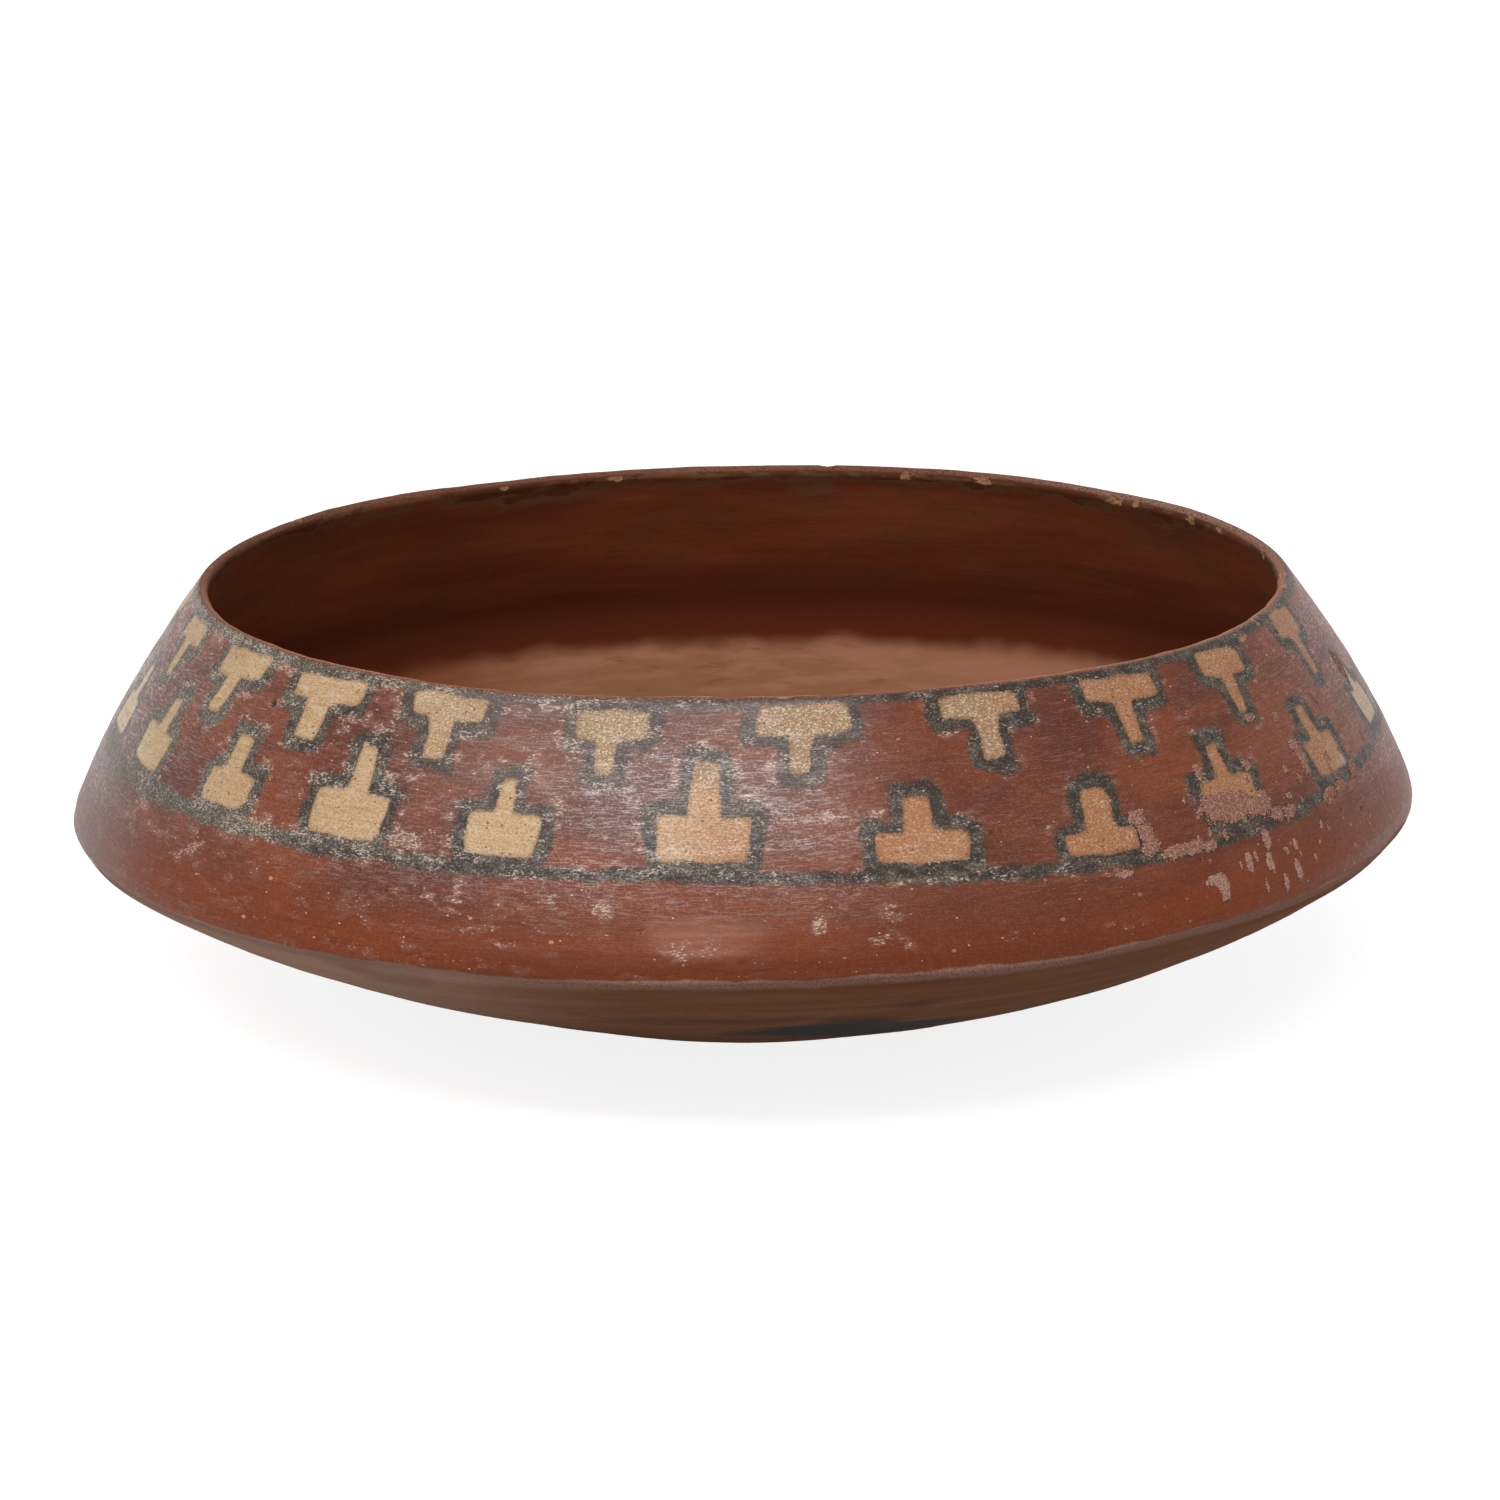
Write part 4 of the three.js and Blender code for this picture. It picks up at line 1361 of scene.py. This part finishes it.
def slip_end(s, colour):
    """The bare clay below the slip, a ridge line on its edge, rubbed and partly painted highlight, and where
    that clay is.
    """
    wavy_depth = s.plus(s.depth, s.centred(s.noise(20, 20, 3, 0.6), 1.6))
    below = s.ramp(wavy_depth, *SLIP_ENDS_DEPTHS)
    ridge = s.times(below, s.ramp(wavy_depth, *RIDGE_ENDS_DEPTHS))
    colour = s.blend(below, colour, s.bare_clay())
    # The ridge's pale lilac line: rubbed clay, and partly a painted highlight along the arris
    return s.cover(colour, RIDGE_LILAC, ridge, s.ramp(s.grit, 0.35, 0.6, 0.35, 0.95)), below


def painted_wall():
    s = Surface("painted slip")
    step = s.known("step")
    dark, light = painted_masks(s, step)
    crust_thickness = s.plus(s.known("crust"), s.centred(s.grit, 0.4))
    crust = s.ramp(crust_thickness, 0.0, 0.06)
    outer = s.blend(crust, pattern_colour(s, step, dark, light), crust_colour(s, crust_thickness))
    outer, below = slip_end(s, outer)
    worn_lip = lip_band(s, outside=0.5, wobble=1.0, full=0.85, none=1.25)
    colour = lip_colour(s, s.blend(s.known("inside"), outer, s.inner_face()), worn_lip)

    rubbed = s.most(below, s.most(crust, worn_lip))
    matte = s.most(rubbed, s.known("inside"))
    sparkle = s.most(s.ramp(s.hairlines, 0.52, 0.62), s.times(s.pale_grain, 0.8))
    sparkle = s.times(sparkle, s.ramp(s.bands, 0.36, 0.56, 0.5, 1.0))
    dull = s.most(s.most(s.times(dark, 0.6), s.times(light, 0.5)), rubbed)
    roughness = s.minus(s.plus(0.46, s.times(dull, 0.08)), s.times(sparkle, 0.10))
    height = s.plus(s.relief(0.03, 0.14, 0.03), s.times(s.hairlines, 0.018))
    height = s.plus(height, s.times(crust, s.plus(0.05, s.times(s.grit, 0.12))))
    polish = wall_polish(s, dark, light, sparkle, matte)
    return s.finish(colour, s.between(matte, roughness, MATTE), height, polish)


def bare_base():
    s = Surface("fired clay")
    clay = s.cover(s.bare_clay(), CLOUD_BLACK_AND_PIT_SHADE, s.dark_grain, 0.3)
    clay = s.cover(clay, DUST_PALE, s.use(DUST, density=0.3)["Specks"], 0.6)
    colour = s.blend(s.known("inside"), clay, s.inner_face())
    return s.finish(colour, MATTE, s.relief(0.07, 0.15, 0.09))


# Camera, light and floor

WORLD_LIGHT = 0.23
FLOOR_GREY = 0.50
FLOOR_GLOW = 0.86
FLOOR_SIDE = 6.0
PAPER_ROUGHNESS = 0.9

# Softboxes: azimuth and elevation in degrees, distance, width and height in metres, and watts
SOFTBOXES = [
    ("key light", -9, 47, 1.6, 1.3, 0.42, 18),
    ("left light", -62, 38, 1.8, 1.0, 1.0, 5.5),
    ("right light", 58, 34, 1.8, 0.8, 0.8, 3),
]


def add_camera():
    data = bpy.data.cameras.new("camera")
    data.lens = CAMERA_LENS
    data.sensor_width = SENSOR_WIDTH
    data.shift_x = BOWL_LEFT_PIXELS / PICTURE_SIDE
    data.shift_y = BOWL_DOWN_PIXELS / PICTURE_SIDE
    camera = bpy.data.objects.new("camera", data)
    pitch = math.radians(CAMERA_PITCH)
    back, up = CAMERA_DISTANCE * math.cos(pitch), CAMERA_DISTANCE * math.sin(pitch)
    camera.location = (0, -back * MM, (AIM_HEIGHT + up) * MM)
    camera.rotation_euler = (math.pi / 2 - pitch, 0, 0)
    bpy.context.scene.collection.objects.link(camera)
    bpy.context.scene.camera = camera


def add_softbox(name, azimuth, elevation, distance, width, height, watts):
    """A soft rectangle of light round the bowl. Azimuth 0 is at the viewer and grows to the right."""
    data = bpy.data.lights.new(name, "AREA")
    data.shape = "RECTANGLE"
    data.size = width
    data.size_y = height
    data.energy = watts
    light = bpy.data.objects.new(name, data)
    a, e = math.radians(azimuth), math.radians(elevation)
    towards = Vector((math.sin(a) * math.cos(e), -math.cos(a) * math.cos(e), math.sin(e)))
    light.location = towards * distance + Vector((0, 0, AIM_HEIGHT * MM))
    light.rotation_euler = towards.to_track_quat("Z", "Y").to_euler()
    bpy.context.scene.collection.objects.link(light)


def shown_white(nodes):
    """1 for rays that show the backdrop: straight from the camera, or by gloss or through glass."""
    path = nodes.add("LightPath").outputs
    return nodes.most(path["Is Camera Ray"], nodes.most(path["Is Glossy Ray"], path["Is Transmission Ray"]))


def add_world():
    world = bpy.data.worlds.new("studio")
    bpy.context.scene.world = world
    world.use_nodes = True
    nodes = Nodes(world.node_tree)
    background = world.node_tree.nodes["Background"]
    background.inputs["Color"].default_value = (1, 1, 1, 1)
    nodes.feed(background.inputs["Strength"], nodes.most(shown_white(nodes), WORLD_LIGHT))


def white_paper():
    """A floor that shows nearly white and still takes the bowl's shadow."""
    material = bpy.data.materials.new("white paper")
    material.use_nodes = True
    nodes = Nodes(material.node_tree)
    shader = material.node_tree.nodes["Principled BSDF"]
    shader.inputs["Base Color"].default_value = (FLOOR_GREY, FLOOR_GREY, FLOOR_GREY, 1)
    shader.inputs["Roughness"].default_value = PAPER_ROUGHNESS
    shader.inputs["Specular IOR Level"].default_value = 0.0
    shader.inputs["Emission Color"].default_value = (1, 1, 1, 1)
    nodes.feed(shader.inputs["Emission Strength"], nodes.times(shown_white(nodes), FLOOR_GLOW))
    return material


def add_floor():
    mesh = bpy.data.meshes.new("floor")
    half = FLOOR_SIDE / 2
    corners = [(-half, -half, 0), (half, -half, 0), (half, half, 0), (-half, half, 0)]
    mesh.from_pydata(corners, [], [(0, 1, 2, 3)])
    mesh.materials.append(white_paper())
    floor = bpy.data.objects.new("floor", mesh)
    bpy.context.scene.collection.objects.link(floor)


def add_bowl():
    wall, base = painted_wall(), bare_base()
    outer_side = skin.along < skin.outer_place(skin.keel)
    pat_edge = np.interp(FOOT_RADIUS + PAT_BEYOND_FOOT, skin.radius[outer_side], skin.along[outer_side])
    pat_joint = pat_edge - skin.outer_place(0)
    base_joints = np.linspace(pat_joint, skin.keel - KEEL_RING_BELOW, len(BASE_RINGS) + 1)
    rim_joint = skin.face_length - RIM_RING_HEIGHT
    wall_joints = np.linspace(skin.keel + KEEL_RING_ABOVE, rim_joint, len(WALL_RINGS) + 1)
    add_piece("clay_base_pat", "base_pat", pat_sheet(pat_joint), base)
    for part, low, high in zip(BASE_RINGS, base_joints, base_joints[1:]):
        sheet = ring_sheet(low, high, BASE_COLUMNS, BASE_ROW)
        add_piece(f"clay_base_coil_{part}", f"base_coil_{part}", sheet, base)
    keel_sheet = ring_sheet(base_joints[-1], wall_joints[0], WALL_COLUMNS, OUTER_ROW)
    add_piece("clay_keel_coil", "keel_coil", keel_sheet, wall)
    for part, low, high in zip(WALL_RINGS, wall_joints, wall_joints[1:]):
        sheet = ring_sheet(low, high, WALL_COLUMNS, OUTER_ROW)
        add_piece(f"clay_wall_coil_{part}", f"wall_coil_{part}", sheet, wall)
    add_piece("clay_rim_coil", "rim_coil", rim_sheet(rim_joint), wall)


add_camera()
add_bowl()
add_floor()
add_world()
for softbox in SOFTBOXES:
    add_softbox(*softbox)
bpy.context.scene.view_settings.view_transform = "Standard"
